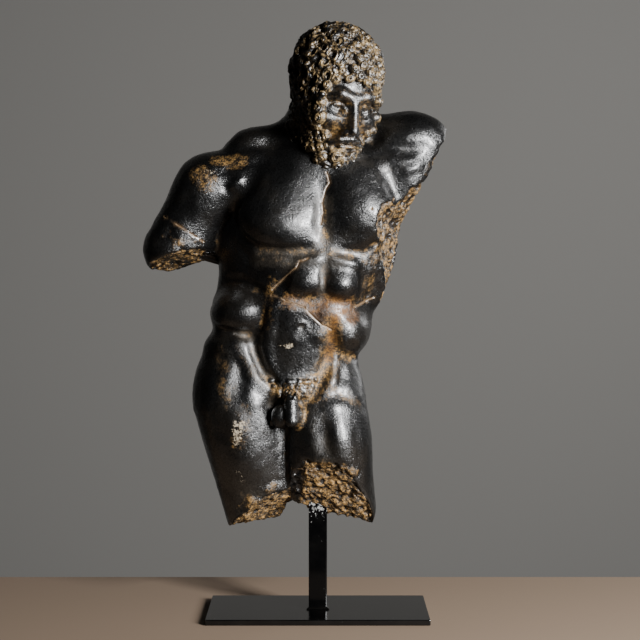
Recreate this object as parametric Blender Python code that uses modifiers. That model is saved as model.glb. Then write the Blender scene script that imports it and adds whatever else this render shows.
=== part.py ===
"""A broken classical figure of a bearded strongman, cast in one piece, on a steel post and plate.

Metres, +Z up. The origin is at the middle of the plate's underside, and the figure faces -Y.
The figure is modelled as a carver sees it: a stack of named masses, each an egg or a tapering
limb, that flow into each other over a stated blend, with strokes that raise or sink its skin and
planes that break it off. The masses are first joined as a rough block, and the block's skin is
then drawn onto the finished form.
"""

import math

import bmesh
import bpy
import numpy as np
from mathutils import Euler, Matrix, Vector

# The stand
PLATE_WIDTH = 0.305
PLATE_DEPTH = 0.152
PLATE_THICK = 0.008
PLATE_EDGE = 0.0012
POST_SIDE = 0.0254
POST_EDGE = 0.0015
POST_TOP = 0.190
BEAD = 0.003
GAP = 0.0003

# The figure
BLOCK_VOXEL = 0.007
SKIN_VOXEL = 0.0044
FIGURE_TRIANGLES = 8600
SOCKET_SIDE = POST_SIDE + 2 * GAP
SOCKET_FROM = 0.10
BREAK_EDGE = 0.004
THIGHS_PART = -0.039
PART_BLEND = 0.016
ARMPIT_TIP = (0.0877, -0.062, 0.564)
LONGEST_MOVE = 0.006

FIGURE_COLOUR = (0.030, 0.026, 0.022, 1.0)
STEEL_COLOUR = (0.012, 0.012, 0.012, 1.0)


# ---------------------------------------------------------------- masses

def egg(centre, radii, turn=(0, 0, 0), blend=0.018):
    """An ellipsoid mass. turn is in degrees about X, Y and Z."""
    spin = Euler([math.radians(a) for a in turn]).to_matrix()
    return {
        "centre": np.array(centre),
        "radii": np.array(radii),
        "spin": np.array(spin),
        "reach": max(radii),
        "blend": blend,
    }


def limb(start, end, first, last, blend=0.018):
    """A round tapering mass between two points, with a radius at each."""
    start, end = np.array(start), np.array(end)
    return {
        "start": start,
        "end": end,
        "first": first,
        "last": last,
        "centre": (start + end) / 2,
        "reach": np.linalg.norm(end - start) / 2 + max(first, last),
        "blend": blend,
    }


def distance_to(mass, points):
    """Signed distance of each point to one mass, near enough to its surface."""
    if "radii" in mass:
        local = (points - mass["centre"]) @ mass["spin"]
        ratio = np.linalg.norm(local / mass["radii"], axis=1)
        slope = np.linalg.norm(local / mass["radii"] ** 2, axis=1)
        return ratio * (ratio - 1) / np.maximum(slope, 1e-9)
    along = mass["end"] - mass["start"]
    share = np.clip((points - mass["start"]) @ along / (along @ along), 0, 1)
    nearest = mass["start"] + share[:, None] * along
    radius = mass["first"] + share * (mass["last"] - mass["first"])
    return np.linalg.norm(points - nearest, axis=1) - radius


def blended(a, b, width):
    """The lower of two distances, rounded where they meet over this width."""
    near = np.maximum(width - np.abs(a - b), 0) / width
    return np.minimum(a, b) - near * near * width / 4


def joined(masses, points, margin=0.03):
    """The masses blended together, one after another."""
    total = np.full(len(points), 1.0)
    for mass in masses:
        offset = np.linalg.norm(points - mass["centre"], axis=1)
        close = offset < mass["reach"] + mass["blend"] + margin
        if close.any():
            own = distance_to(mass, points[close])
            total[close] = blended(total[close], own, mass["blend"])
    return total


def beyond(point, normal, points):
    """How far each point lies past a plane."""
    normal = np.array(normal) / np.linalg.norm(normal)
    return (points - np.array(point)) @ normal


def swell(way, width, points):
    """A soft round rise, 1 along a way of points in space, 0 at its width and past its ends."""
    nearest = np.full(len(points), np.inf)
    place = np.zeros(len(points))
    walked = 0.0
    for a, b in zip(way[:-1], way[1:]):
        along = b - a
        length = np.linalg.norm(along)
        share = np.clip((points - a) @ along / length ** 2, 0, 1)
        offset = np.linalg.norm(points - a - share[:, None] * along, axis=1)
        closer = offset < nearest
        nearest = np.where(closer, offset, nearest)
        place = np.where(closer, walked + share * length, place)
        walked += length
    across = np.clip(1 - (nearest / width) ** 2, 0, 1) ** 2
    from_end = np.minimum(place, walked - place) / min(2 * width, walked / 2)
    return across * (0.25 + 0.75 * np.clip(from_end, 0, 1))


# ---------------------------------------------------------------- the figure

HEAD_AT = (0.0255, -0.030, 0.7285)
HEAD_SCALE = 1.04
HEAD_TURN = (22, 4, 28)
HEAD_SPIN = Euler([math.radians(a) for a in HEAD_TURN]).to_matrix()
GOLDEN_ANGLE = math.pi * (3 - math.sqrt(5))
CURL_RADIUS = 0.0095
HAIR_CURLS = 110
CHEEK_CURLS = 70
BEARD_CURLS = 60


def on_head(x, y, z):
    """A point given in the head's own frame, looking along -Y, put in the figure's frame."""
    return tuple(Vector(HEAD_AT) + HEAD_SPIN @ Vector((x, y, z)) * HEAD_SCALE)


def head_egg(centre, radii, blend):
    return egg(on_head(*centre), [HEAD_SCALE * radius for radius in radii], HEAD_TURN, blend)


def trunk():
    return [
        egg((0.000, 0.004, 0.545), (0.102, 0.072, 0.115), (0, 5, 0), 0.03),
        egg((0.004, 0.010, 0.598), (0.100, 0.054, 0.052), (0, 9, 0), 0.03),
        egg((-0.024, 0.004, 0.445), (0.098, 0.060, 0.095), (0, 8, 0), 0.05),
        egg((-0.050, 0.010, 0.345), (0.094, 0.062, 0.070), (0, -4, 0), 0.04),
        egg((-0.092, 0.020, 0.532), (0.046, 0.050, 0.084), (0, 8, 0), 0.03),
        egg((0.080, 0.020, 0.545), (0.046, 0.052, 0.104), (0, 4, 0), 0.03),
        egg((0.000, -0.034, 0.490), (0.070, 0.036, 0.040), (0, 0, 0), 0.03),
    ]


def neck_and_shoulders():
    return [
        limb((0.006, 0.014, 0.625), (0.016, 0.004, 0.720), 0.056, 0.050, 0.03),
        limb((-0.020, 0.024, 0.660), (-0.090, 0.014, 0.640), 0.034, 0.032, 0.025),
        limb((-0.090, 0.014, 0.640), (-0.132, 0.008, 0.608), 0.032, 0.030, 0.020),
        limb((0.040, 0.022, 0.664), (0.125, 0.014, 0.664), 0.034, 0.030, 0.025),
        limb((0.014, 0.032, 0.680), (0.002, 0.036, 0.560), 0.036, 0.038, 0.04),
    ]


def chest():
    return [
        egg((-0.047, -0.042, 0.552), (0.061, 0.038, 0.049), (0, 8, 0), 0.020),
        egg((-0.050, -0.057, 0.538), (0.038, 0.026, 0.025), (0, 6, 0), 0.018),
        egg((0.058, -0.044, 0.556), (0.048, 0.038, 0.049), (0, -6, 0), 0.020),
        limb((-0.036, -0.028, 0.592), (-0.120, -0.010, 0.600), 0.031, 0.032, 0.022),
        limb((0.046, -0.033, 0.592), (0.122, -0.010, 0.630), 0.031, 0.032, 0.020),
    ]


def arms():
    return [
        egg((-0.152, 0.004, 0.590), (0.043, 0.049, 0.050), (0, 24, 0), 0.012),
        limb((-0.152, 0.006, 0.592), (-0.197, 0.008, 0.508), 0.0435, 0.0463, 0.02),
        egg((0.132, 0.004, 0.654), (0.053, 0.046, 0.044), (0, 8, 0), 0.014),
        egg((0.122, 0.004, 0.605), (0.040, 0.048, 0.060), (0, 10, 0), 0.016),
    ]


def belly():
    return [
        egg((-0.101, 0.000, 0.422), (0.048, 0.062, 0.038), (0, -12, 0), 0.012),
        egg((-0.086, 0.030, 0.430), (0.052, 0.036, 0.060), (0, 0, 0), 0.030),
        limb((-0.088, 0.036, 0.510), (-0.092, 0.036, 0.340), 0.034, 0.036, 0.030),
        egg((0.035, -0.010, 0.398), (0.036, 0.054, 0.037), (0, 8, 0), 0.014),
        limb((0.040, 0.006, 0.456), (0.032, 0.008, 0.400), 0.037, 0.034, 0.020),
        egg((-0.110, 0.004, 0.372), (0.048, 0.054, 0.032), (0, 0, 0), 0.014),
        egg((-0.024, -0.018, 0.402), (0.064, 0.048, 0.056), (0, 12, 0), 0.020),
        egg((-0.033, -0.002, 0.350), (0.052, 0.046, 0.042), (0, 0, 0), 0.030),
        egg((-0.0070, -0.060, 0.4930), (0.0200, 0.016, 0.0100), (0, 4, 0), 0.008),
        egg((0.0330, -0.057, 0.4910), (0.0240, 0.018, 0.0105), (0, 14, 0), 0.008),
        egg((-0.0150, -0.050, 0.4650), (0.0285, 0.031, 0.0245), (0, 0, 0), 0.012),
        egg((0.0300, -0.050, 0.4620), (0.0262, 0.031, 0.0240), (0, 6, 0), 0.012),
        egg((-0.040, -0.040, 0.431), (0.040, 0.028, 0.022), (0, 8, 0), 0.016),
        egg((0.014, -0.036, 0.428), (0.038, 0.030, 0.024), (0, 8, 0), 0.020),
    ]


def ribs():
    """The teeth of muscle over the ribs, below each breast and on the flanks."""
    return [
        egg((middle + side * (0.070 + 0.004 * row), 0.010 * row - 0.026, 0.500 - 0.019 * row),
            (0.020, 0.022, 0.0095), (0, side * 30, side * 35), 0.012)
        for side, middle in ((-1, 0.004), (1, 0.000))
        for row in range(4)
    ]


def hips_and_thighs():
    return [
        egg((-0.110, 0.006, 0.334), (0.058, 0.056, 0.056), (0, -8, 0), 0.012),
        limb((-0.114, 0.000, 0.298), (-0.085, 0.012, 0.140), 0.060, 0.044, 0.02),
        egg((-0.104, -0.020, 0.262), (0.046, 0.044, 0.080), (0, -10, 0), 0.02),
        egg((0.008, 0.004, 0.325), (0.052, 0.054, 0.050), (0, 6, 0), 0.02),
        limb((0.010, -0.004, 0.290), (0.021, 0.000, 0.150), 0.056, 0.060, 0.02),
        egg((0.018, -0.020, 0.245), (0.046, 0.046, 0.070), (0, -4, 0), 0.03),
        limb((-0.074, -0.014, 0.265), (-0.067, -0.006, 0.165), 0.029, 0.027, 0.02),
        limb((-0.007, -0.020, 0.265), (-0.002, -0.012, 0.160), 0.037, 0.036, 0.02),
        egg((-0.098, 0.046, 0.318), (0.056, 0.044, 0.054), (0, 0, 0), 0.012),
        egg((0.002, 0.042, 0.312), (0.052, 0.042, 0.052), (0, 0, 0), 0.012),
        egg((-0.036, -0.021, 0.318), (0.034, 0.036, 0.022), (0, 0, 0), 0.020),
    ]


def loins():
    return [
        egg((-0.050, -0.058, 0.282), (0.0125, 0.013, 0.017), (0, 0, 0), 0.004),
        egg((-0.030, -0.056, 0.283), (0.0125, 0.013, 0.018), (0, 0, 0), 0.004),
        limb((-0.036, -0.060, 0.309), (-0.035, -0.073, 0.277), 0.0105, 0.0085, 0.004),
    ]


def back():
    return [
        egg((-0.058, 0.044, 0.585), (0.054, 0.028, 0.058), (0, 10, 0), 0.026),
        egg((0.062, 0.044, 0.590), (0.054, 0.028, 0.058), (0, -10, 0), 0.026),
        limb((-0.112, 0.030, 0.560), (-0.066, 0.044, 0.470), 0.032, 0.026, 0.03),
        limb((0.108, 0.032, 0.566), (0.056, 0.044, 0.474), 0.032, 0.026, 0.03),
        limb((-0.064, 0.040, 0.370), (-0.032, 0.036, 0.510), 0.029, 0.026, 0.03),
        limb((-0.024, 0.040, 0.370), (0.020, 0.036, 0.510), 0.029, 0.026, 0.03),
    ]


def head():
    """The skull under its cap of hair, the face, the beard and the moustache."""
    return [
        head_egg((0, 0.010, 0.018), (0.054, 0.064, 0.055), 0.02),
        head_egg((0, -0.020, -0.026), (0.043, 0.046, 0.056), 0.01),
        head_egg((0, -0.024, -0.068), (0.039, 0.036, 0.042), 0.012),
        limb(on_head(-0.026, -0.050, 0.001), on_head(0.026, -0.050, 0.001), 0.010, 0.010, 0.010),
        limb(on_head(0, -0.059, -0.004), on_head(0, -0.075, -0.037), 0.0055, 0.0085, 0.006),
        head_egg((0, -0.066, -0.042), (0.013, 0.011, 0.006), 0.004),
        head_egg((-0.029, -0.043, -0.030), (0.014, 0.014, 0.012), 0.012),
        head_egg((0.029, -0.043, -0.030), (0.014, 0.014, 0.012), 0.012),
        limb(on_head(0, -0.064, -0.052), on_head(-0.026, -0.052, -0.064), 0.007, 0.005, 0.004),
        limb(on_head(0, -0.064, -0.052), on_head(0.026, -0.052, -0.064), 0.007, 0.005, 0.004),
        head_egg((0, -0.058, -0.064), (0.012, 0.008, 0.005), 0.004),
    ]


def curly():
    """The balls of hair over the skull, down the cheeks and round the jaw."""
    return (
        curls((0, 0.010, 0.018), (0.054, 0.064, 0.055), HAIR_CURLS, is_hair)
        + curls((0, -0.018, -0.026), (0.043, 0.046, 0.056), CHEEK_CURLS, is_whisker)
        + curls((0, -0.026, -0.068), (0.040, 0.038, 0.043), BEARD_CURLS, is_beard)
    )


def curls(centre, radii, count, grows):
    """Balls of curled hair, evenly spread over an egg in the head's frame where hair grows."""
    found = []
    for step in range(count):
        height = 1 - 2 * (step + 0.5) / count
        ring = math.sqrt(1 - height ** 2)
        turn = step * GOLDEN_ANGLE
        way = (ring * math.cos(turn), ring * math.sin(turn), height)
        spot = [c + r * w for c, r, w in zip(centre, radii, way)]
        if grows(*spot):
            found.append(head_egg(spot, [CURL_RADIUS] * 3, 0.003))
    return found


def is_hair(x, y, z):
    """Above the brow in front, and down to the nape behind."""
    return z > min(0.034, 0.034 - 1.4 * (y + 0.040)) and z > -0.050


def is_whisker(x, y, z):
    """In front of the ears, from the temples down to the jaw."""
    return abs(x) > 0.033 and -0.060 < z < 0.020 and -0.045 < y < 0.010


def is_beard(x, y, z):
    """Below the mouth and along the jaw."""
    return z < -0.070 + 0.9 * max(0, abs(x) - 0.014) and y < 0.004


def masses():
    return (
        trunk() + neck_and_shoulders() + chest() + arms() + ribs() + belly()
        + hips_and_thighs() + back() + loins() + head() + curly()
    )


# Carved lines, each as the width of the stroke, how far it rises or sinks, and its way
# over the figure in (x, z), seen from the front or from behind.
FRONT_STROKES = {
    "breastbone": (0.015, -0.0045, [(0.008, 0.600), (0.006, 0.574), (0.004, 0.545), (0.010, 0.512)]),
    "under right breast": (0.013, -0.0040, [(0.006, 0.510), (-0.017, 0.505), (-0.050, 0.505),
                                            (-0.081, 0.511), (-0.104, 0.528), (-0.116, 0.556)]),
    "under left breast": (0.013, -0.0028, [(0.014, 0.510), (0.036, 0.504), (0.062, 0.505),
                                           (0.082, 0.519), (0.092, 0.540)]),
    "right shoulder seam": (0.018, -0.0045, [(-0.078, 0.622), (-0.094, 0.590), (-0.114, 0.560)]),
    "left shoulder seam": (0.022, -0.0060, [(0.078, 0.640), (0.094, 0.612), (0.108, 0.588)]),
    "right shoulder bump": (0.017, 0.0048, [(-0.114, 0.602), (-0.107, 0.593)]),
    "right shoulder dimple": (0.010, -0.0020, [(-0.128, 0.596), (-0.122, 0.586)]),
    "left shoulder dent": (0.015, -0.0040, [(0.102, 0.640), (0.126, 0.642), (0.146, 0.645)]),
    "left shoulder bump": (0.020, 0.0036, [(0.126, 0.626), (0.133, 0.610)]),
    "white line": (0.010, -0.0038, [(0.0105, 0.497), (0.0085, 0.474), (0.0075, 0.450)]),
    "white line below": (0.014, -0.0014, [(0.008, 0.447), (-0.005, 0.424), (-0.018, 0.400)]),
    "under the abdomen": (0.015, -0.0034, [(-0.045, 0.444), (-0.017, 0.4390), (0.010, 0.4400),
                                           (0.034, 0.4360), (0.054, 0.4310)]),
    "right flank line": (0.016, -0.0040, [(-0.036, 0.490), (-0.047, 0.467), (-0.060, 0.446)]),
    "left flank line": (0.014, -0.0036, [(0.062, 0.484), (0.060, 0.463), (0.053, 0.440)]),
    "right flank ridge": (0.014, 0.0040, [(-0.060, 0.436), (-0.064, 0.410), (-0.069, 0.375),
                                          (-0.064, 0.345)]),
    "beside right roll": (0.011, -0.0026, [(-0.069, 0.436), (-0.074, 0.414), (-0.085, 0.395)]),
    "over right roll": (0.013, -0.0036, [(-0.134, 0.458), (-0.122, 0.465), (-0.104, 0.465),
                                         (-0.085, 0.454), (-0.064, 0.443)]),
    "under right roll": (0.010, -0.0045, [(-0.138, 0.403), (-0.120, 0.397), (-0.098, 0.392),
                                          (-0.078, 0.385)]),
    "right groin": (0.012, -0.0050, [(-0.092, 0.389), (-0.083, 0.364), (-0.073, 0.343),
                                     (-0.060, 0.327), (-0.048, 0.320)]),
    "right groin band": (0.016, 0.0040, [(-0.108, 0.388), (-0.100, 0.362), (-0.088, 0.338),
                                         (-0.070, 0.317), (-0.054, 0.306)]),
    "left groin": (0.013, -0.0055, [(0.020, 0.388), (0.015, 0.364), (0.006, 0.338),
                                    (-0.004, 0.317), (-0.020, 0.301)]),
    "round left roll": (0.012, -0.0040, [(0.0170, 0.408), (0.0200, 0.388), (0.0270, 0.372),
                                         (0.040, 0.362), (0.056, 0.361)]),
    "over left roll": (0.014, -0.0030, [(0.0260, 0.424), (0.0450, 0.421), (0.0640, 0.418)]),
    "left hip bundle": (0.011, 0.0034, [(0.0240, 0.345), (0.0210, 0.330), (0.0160, 0.318)]),
    "left hip fold": (0.012, -0.0030, [(0.0300, 0.318), (0.0340, 0.334), (0.0360, 0.350)]),
    "left thigh top": (0.016, -0.0024, [(-0.010, 0.297), (0.004, 0.307), (0.024, 0.313),
                                        (0.042, 0.307), (0.056, 0.294)]),
    "right hip ridge": (0.018, 0.0030, [(-0.117, 0.376), (-0.119, 0.350), (-0.125, 0.322)]),
    "right hip hollow": (0.020, -0.0034, [(-0.106, 0.350), (-0.109, 0.318), (-0.118, 0.286)]),
    "right thigh ridge": (0.022, 0.0045, [(-0.092, 0.332), (-0.083, 0.305), (-0.074, 0.268)]),
    "right thigh side": (0.020, -0.0030, [(-0.136, 0.300), (-0.132, 0.262), (-0.122, 0.222)]),
    "left thigh ridge": (0.024, 0.0050, [(0.026, 0.290), (0.034, 0.250), (0.040, 0.210)]),
    "between the thighs": (0.007, -0.0120, [(-0.042, 0.268), (-0.043, 0.215), (-0.042, 0.165)]),
    "left thigh hollow": (0.018, -0.0035, [(0.006, 0.290), (0.009, 0.250), (0.014, 0.215)]),
    "right collarbone": (0.016, 0.0035, [(-0.006, 0.622), (-0.040, 0.634), (-0.080, 0.636),
                                         (-0.112, 0.632)]),
    "over right collarbone": (0.014, -0.0030, [(-0.030, 0.652), (-0.070, 0.652), (-0.100, 0.648)]),
    "left collarbone": (0.018, 0.0030, [(0.022, 0.624), (0.055, 0.640), (0.100, 0.658), (0.140, 0.664)]),
    "beside navel": (0.0140, 0.0060, [(0.0000, 0.3930), (0.0030, 0.3925)]),
    "below navel": (0.0120, 0.0020, [(-0.0330, 0.3870), (-0.0280, 0.3870)]),
}
FACE_STROKES = {
    "right eye": (0.013, -0.0080, [(-0.024, -0.015), (-0.012, -0.015)]),
    "left eye": (0.013, -0.0080, [(0.012, -0.015), (0.024, -0.015)]),
    "right eyeball": (0.008, 0.0055, [(-0.0215, -0.0145), (-0.0145, -0.0145)]),
    "left eyeball": (0.008, 0.0055, [(0.0145, -0.0145), (0.0215, -0.0145)]),
    "mouth": (0.004, -0.0030, [(-0.013, -0.0605), (0.000, -0.0595), (0.013, -0.0605)]),
}
BACK_STROKES = {
    "spine": (0.026, -0.0085, [(0.006, 0.650), (-0.004, 0.540), (-0.020, 0.460),
                               (-0.042, 0.380), (-0.050, 0.350)]),
    "between the buttocks": (0.012, -0.0080, [(-0.050, 0.345), (-0.049, 0.310), (-0.046, 0.270)]),
    "under right shoulder blade": (0.012, -0.0035, [(-0.028, 0.545), (-0.060, 0.522), (-0.095, 0.535)]),
    "under left shoulder blade": (0.012, -0.0035, [(0.030, 0.550), (0.062, 0.530), (0.092, 0.545)]),
    "right shoulder blade": (0.014, 0.0035, [(-0.028, 0.615), (-0.070, 0.622), (-0.115, 0.618)]),
    "left shoulder blade": (0.014, 0.0035, [(0.036, 0.622), (0.078, 0.632), (0.122, 0.640)]),
    "right blade edge": (0.012, -0.0030, [(-0.024, 0.600), (-0.026, 0.570), (-0.034, 0.542)]),
    "left blade edge": (0.012, -0.0030, [(0.030, 0.606), (0.030, 0.576), (0.036, 0.548)]),
    "right side seam": (0.014, -0.0030, [(-0.100, 0.512), (-0.082, 0.462), (-0.080, 0.425)]),
    "left side seam": (0.014, -0.0030, [(0.092, 0.515), (0.060, 0.465), (0.036, 0.420)]),
    "right loin dimple": (0.012, -0.0035, [(-0.074, 0.366), (-0.070, 0.360)]),
    "left loin dimple": (0.012, -0.0035, [(-0.020, 0.364), (-0.024, 0.358)]),
    "under right buttock": (0.012, -0.0050, [(-0.135, 0.285), (-0.100, 0.272), (-0.065, 0.270)]),
    "under left buttock": (0.012, -0.0050, [(-0.032, 0.268), (0.000, 0.266), (0.040, 0.276)]),
    "back of right thigh": (0.014, -0.0030, [(-0.100, 0.262), (-0.092, 0.215), (-0.088, 0.175)]),
    "back of left thigh": (0.014, -0.0030, [(0.008, 0.258), (0.014, 0.215), (0.016, 0.175)]),
}


def on_skin(way, side, place):
    """Where sight lines through the way, from the front (-1) or the back (1), meet the masses."""
    sight = -side * np.array(place.col[1][:3])
    points = np.array([(place @ Vector((x, side * 0.2, z)))[:] for x, z in way])
    for _ in range(40):
        points += sight * np.minimum(joined(masses(), points), LONGEST_MOVE)[:, None]
    return points


def laid_strokes():
    """Each stroke as its width, its rise and its way in space."""
    upright = Matrix.Identity(4)
    face = Matrix.Translation(HEAD_AT) @ HEAD_SPIN.to_4x4() @ Matrix.Scale(HEAD_SCALE, 4)
    return [
        (width, rise, on_skin(way, side, place))
        for strokes, side, place in (
            (FRONT_STROKES, -1, upright),
            (BACK_STROKES, 1, upright),
            (FACE_STROKES, -1, face),
        )
        for width, rise, way in strokes.values()
    ]


def carved(strokes, points):
    """How far the strokes raise the skin at each point."""
    rise = np.zeros(len(points))
    for width, height, way in strokes:
        low, high = way.min(axis=0) - width, way.max(axis=0) + width
        close = ((points > low) & (points < high)).all(axis=1)
        if close.any():
            rise[close] += height * swell(way, width, points[close])
    return rise


def figure_of(solids, strokes):
    """The figure's signed distance, as a function of points."""
    return lambda points: broken(joined(solids, points) - carved(strokes, points), points)


def broken(total, points):
    """The breaks: planes that end the right arm, the left shoulder with the flank, and both thighs."""
    x, z = points[:, 0], points[:, 2]
    arm = beyond((-0.195, 0.000, 0.493), (0.25, -0.30, -1.0), points)
    arm_front = beyond((-0.195, -0.038, 0.503), (0.22, -0.74, -0.62), points)
    shoulder = beyond((0.1508, -0.030, 0.6075), (0.90, 0.06, -0.43), points)
    flank = beyond((0.1068, 0.030, 0.5070), (0.96, -0.25, -0.06), points)
    waist = beyond((0.0968, 0.030, 0.4603), (0.91, 0.00, -0.41), points)
    armpit = beyond(ARMPIT_TIP, (0.65, -0.38, -0.66), points)
    armpit_end = beyond(ARMPIT_TIP, (0.78, 0.00, 0.62), points)
    side = np.minimum(shoulder, np.maximum(flank, waist))
    side = np.maximum(side, np.minimum(armpit, np.maximum(armpit_end, flank)))
    right_leg = beyond((-0.090, 0.000, 0.129), (0.19, -0.12, -1.0), points)
    right_leg_front = beyond((-0.0523, -0.040, 0.180), (0.60, -0.60, -1.0), points)
    right_leg = np.maximum(right_leg, right_leg_front)
    left_leg = beyond((0.022, 0.000, 0.141), (-0.27, 0.00, -1.0), points)
    left_leg_front = beyond((0.022, -0.062, 0.213), (-0.25, -1.35, -1.0), points)
    left_leg = np.maximum(left_leg, left_leg_front)
    on_the_left = np.clip((x - THIGHS_PART) / PART_BLEND + 0.5, 0, 1)
    by_arm = np.minimum(-0.148 - x, z - 0.430)
    for cut in (
        np.minimum(np.maximum(arm, arm_front), by_arm),
        np.minimum(side, z - 0.412),
        right_leg + (left_leg - right_leg) * on_the_left,
    ):
        total = -blended(-total, -cut, BREAK_EDGE)
    return total


# ---------------------------------------------------------------- from masses to a solid

def rough_block():
    """Every mass as a ball or a row of balls, in one mesh."""
    block = bmesh.new()
    for mass in masses():
        if "radii" in mass:
            spin = Matrix(mass["spin"].tolist()).to_4x4()
            scale = Matrix.Diagonal((*mass["radii"], 1))
            place = Matrix.Translation(mass["centre"]) @ spin @ scale
            bmesh.ops.create_icosphere(block, subdivisions=3, radius=1, matrix=place)
            continue
        length = np.linalg.norm(mass["end"] - mass["start"])
        count = max(2, math.ceil(length / (0.5 * min(mass["first"], mass["last"]))))
        for step in range(count + 1):
            share = step / count
            radius = mass["first"] + share * (mass["last"] - mass["first"])
            place = Matrix.Translation(mass["start"] + share * (mass["end"] - mass["start"]))
            bmesh.ops.create_icosphere(block, subdivisions=3, radius=radius, matrix=place)
    return block


def remeshed(obj, voxel):
    """The object with one even skin, its voxel remesh applied."""
    modifier = obj.modifiers.new("skin", "REMESH")
    modifier.mode = "VOXEL"
    modifier.voxel_size = voxel
    return applied(obj)


def applied(obj):
    """The object with its modifiers made part of its mesh."""
    graph = bpy.context.evaluated_depsgraph_get()
    mesh = bpy.data.meshes.new_from_object(obj.evaluated_get(graph))
    obj.modifiers.clear()
    old, obj.data = obj.data, mesh
    bpy.data.meshes.remove(old)
    return obj


def slope_of(field, points, here):
    """The field's steepest direction at each point, by small steps along each axis."""
    step = 0.0004
    slope = np.empty_like(points)
    for axis in range(3):
        moved = points.copy()
        moved[:, axis] += step
        slope[:, axis] = (field(moved) - here) / step
    return slope


def settled(obj, field, rounds):
    """The object's skin moved onto the field's zero, a few Newton steps at most."""
    points = np.empty(len(obj.data.vertices) * 3)
    obj.data.vertices.foreach_get("co", points)
    points = points.reshape(-1, 3)
    for _ in range(rounds):
        here = field(points)
        slope = slope_of(field, points, here)
        steep = np.maximum((slope ** 2).sum(axis=1), 0.25)
        move = slope * (here / steep)[:, None]
        length = np.linalg.norm(move, axis=1, keepdims=True)
        points -= move * np.minimum(1, LONGEST_MOVE / np.maximum(length, 1e-9))
    obj.data.vertices.foreach_set("co", points.ravel())
    obj.data.update()
    return obj


def new_object(name, bm, collection, material=None):
    mesh = bpy.data.meshes.new(name)
    bm.to_mesh(mesh)
    bm.free()
    obj = bpy.data.objects.new(name, mesh)
    collection.objects.link(obj)
    if material:
        mesh.materials.append(material)
    return obj


def make_statue(collection, material):
    statue = new_object("statue", rough_block(), collection)
    figure = figure_of(masses(), laid_strokes())
    settled(remeshed(statue, BLOCK_VOXEL), figure, 12)
    settled(remeshed(statue, SKIN_VOXEL), figure, 6)
    slim = statue.modifiers.new("slim", "DECIMATE")
    slim.ratio = FIGURE_TRIANGLES / (2 * len(statue.data.polygons))
    applied(statue)
    statue.data.materials.append(material)
    statue.data.shade_smooth()
    return statue


def make_socket(statue, cutters):
    """Cuts the square seat for the post, up into the left thigh."""
    box = bmesh.new()
    height = POST_TOP + GAP - SOCKET_FROM
    place = Matrix.Translation((0, 0, SOCKET_FROM + height / 2))
    size = Matrix.Diagonal((SOCKET_SIDE, SOCKET_SIDE, height, 1))
    bmesh.ops.create_cube(box, size=1, matrix=place @ size)
    cutter = new_object("post_seat", box, cutters)
    cutter.hide_render = True
    cutter.display_type = "WIRE"
    cut = statue.modifiers.new("seat", "BOOLEAN")
    cut.operation = "DIFFERENCE"
    cut.object = cutter


def make_post(collection, material):
    """A square bar with a small weld bead spread round its foot."""
    post = bmesh.new()
    foot = PLATE_THICK + GAP
    bmesh.ops.create_grid(post, x_segments=1, y_segments=1, size=POST_SIDE / 2 + BEAD,
                          matrix=Matrix.Translation((0, 0, foot)))
    for side, height in (
        (POST_SIDE + 2 * BEAD, foot + 0.3 * BEAD),
        (POST_SIDE, foot + BEAD),
        (POST_SIDE, POST_TOP - POST_EDGE),
        (POST_SIDE - 2 * POST_EDGE, POST_TOP),
    ):
        raise_face(post, side, height)
    bmesh.ops.recalc_face_normals(post, faces=post.faces)
    upright = [
        e for e in post.edges
        if abs(e.verts[0].co.z - e.verts[1].co.z) > POST_SIDE
    ]
    bmesh.ops.bevel(post, geom=upright, offset=POST_EDGE, offset_type="OFFSET",
                    segments=2, profile=0.5, affect="EDGES", material=-1)
    return new_object("post", post, collection, material)


def raise_face(bm, side, height):
    """Draws the top face up to a height and makes it a square of this side."""
    top = max(bm.faces, key=lambda face: face.calc_center_median().z)
    risen = bmesh.ops.extrude_face_region(bm, geom=[top])["geom"]
    corners = [v for v in risen if isinstance(v, bmesh.types.BMVert)]
    for corner in corners:
        corner.co.x = math.copysign(side / 2, corner.co.x)
        corner.co.y = math.copysign(side / 2, corner.co.y)
        corner.co.z = height
    if len(bm.faces) > 6:
        bmesh.ops.delete(bm, geom=[top], context="FACES_ONLY")


def make_plate(collection, material):
    plate = bmesh.new()
    place = Matrix.Translation((0, 0, PLATE_THICK / 2))
    size = Matrix.Diagonal((PLATE_WIDTH, PLATE_DEPTH, PLATE_THICK, 1))
    bmesh.ops.create_cube(plate, size=1, matrix=place @ size)
    bmesh.ops.bevel(plate, geom=list(plate.edges), offset=PLATE_EDGE, offset_type="OFFSET",
                    segments=2, profile=0.5, affect="EDGES", material=-1)
    return new_object("base_plate", plate, collection, material)


def finish(name, colour, roughness, metallic):
    material = bpy.data.materials.new(name)
    material.use_nodes = True
    shader = material.node_tree.nodes["Principled BSDF"]
    shader.inputs["Base Color"].default_value = colour
    shader.inputs["Roughness"].default_value = roughness
    shader.inputs["Metallic"].default_value = metallic
    return material


def main():
    for obj in list(bpy.data.objects):
        bpy.data.objects.remove(obj)
    parts = bpy.data.collections.new("hercules_statue")
    cutters = bpy.data.collections.new("cutters")
    for collection in (parts, cutters):
        bpy.context.scene.collection.children.link(collection)
    patina = finish("black_patina", FIGURE_COLOUR, 0.42, 0.0)
    steel = finish("black_steel", STEEL_COLOUR, 0.3, 0.6)
    make_plate(parts, steel)
    make_post(parts, steel)
    statue = make_statue(parts, patina)
    make_socket(statue, cutters)


main()
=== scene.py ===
"""Hercules statue: a broken classical figure, finely carved, on its post and plate.

Metres, +Z up. The figure faces -Y and its own left side is at +X. It is modelled as a carver
sees it: a stack of named masses that flow into each other, strokes that raise or sink the skin,
and planes that break it off. The head is its own piece, which grows out of the neck under the
beard and the hair.
"""

import itertools
import math

import bmesh
import bpy
import numpy as np
from mathutils import Euler, Matrix, Vector


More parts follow.
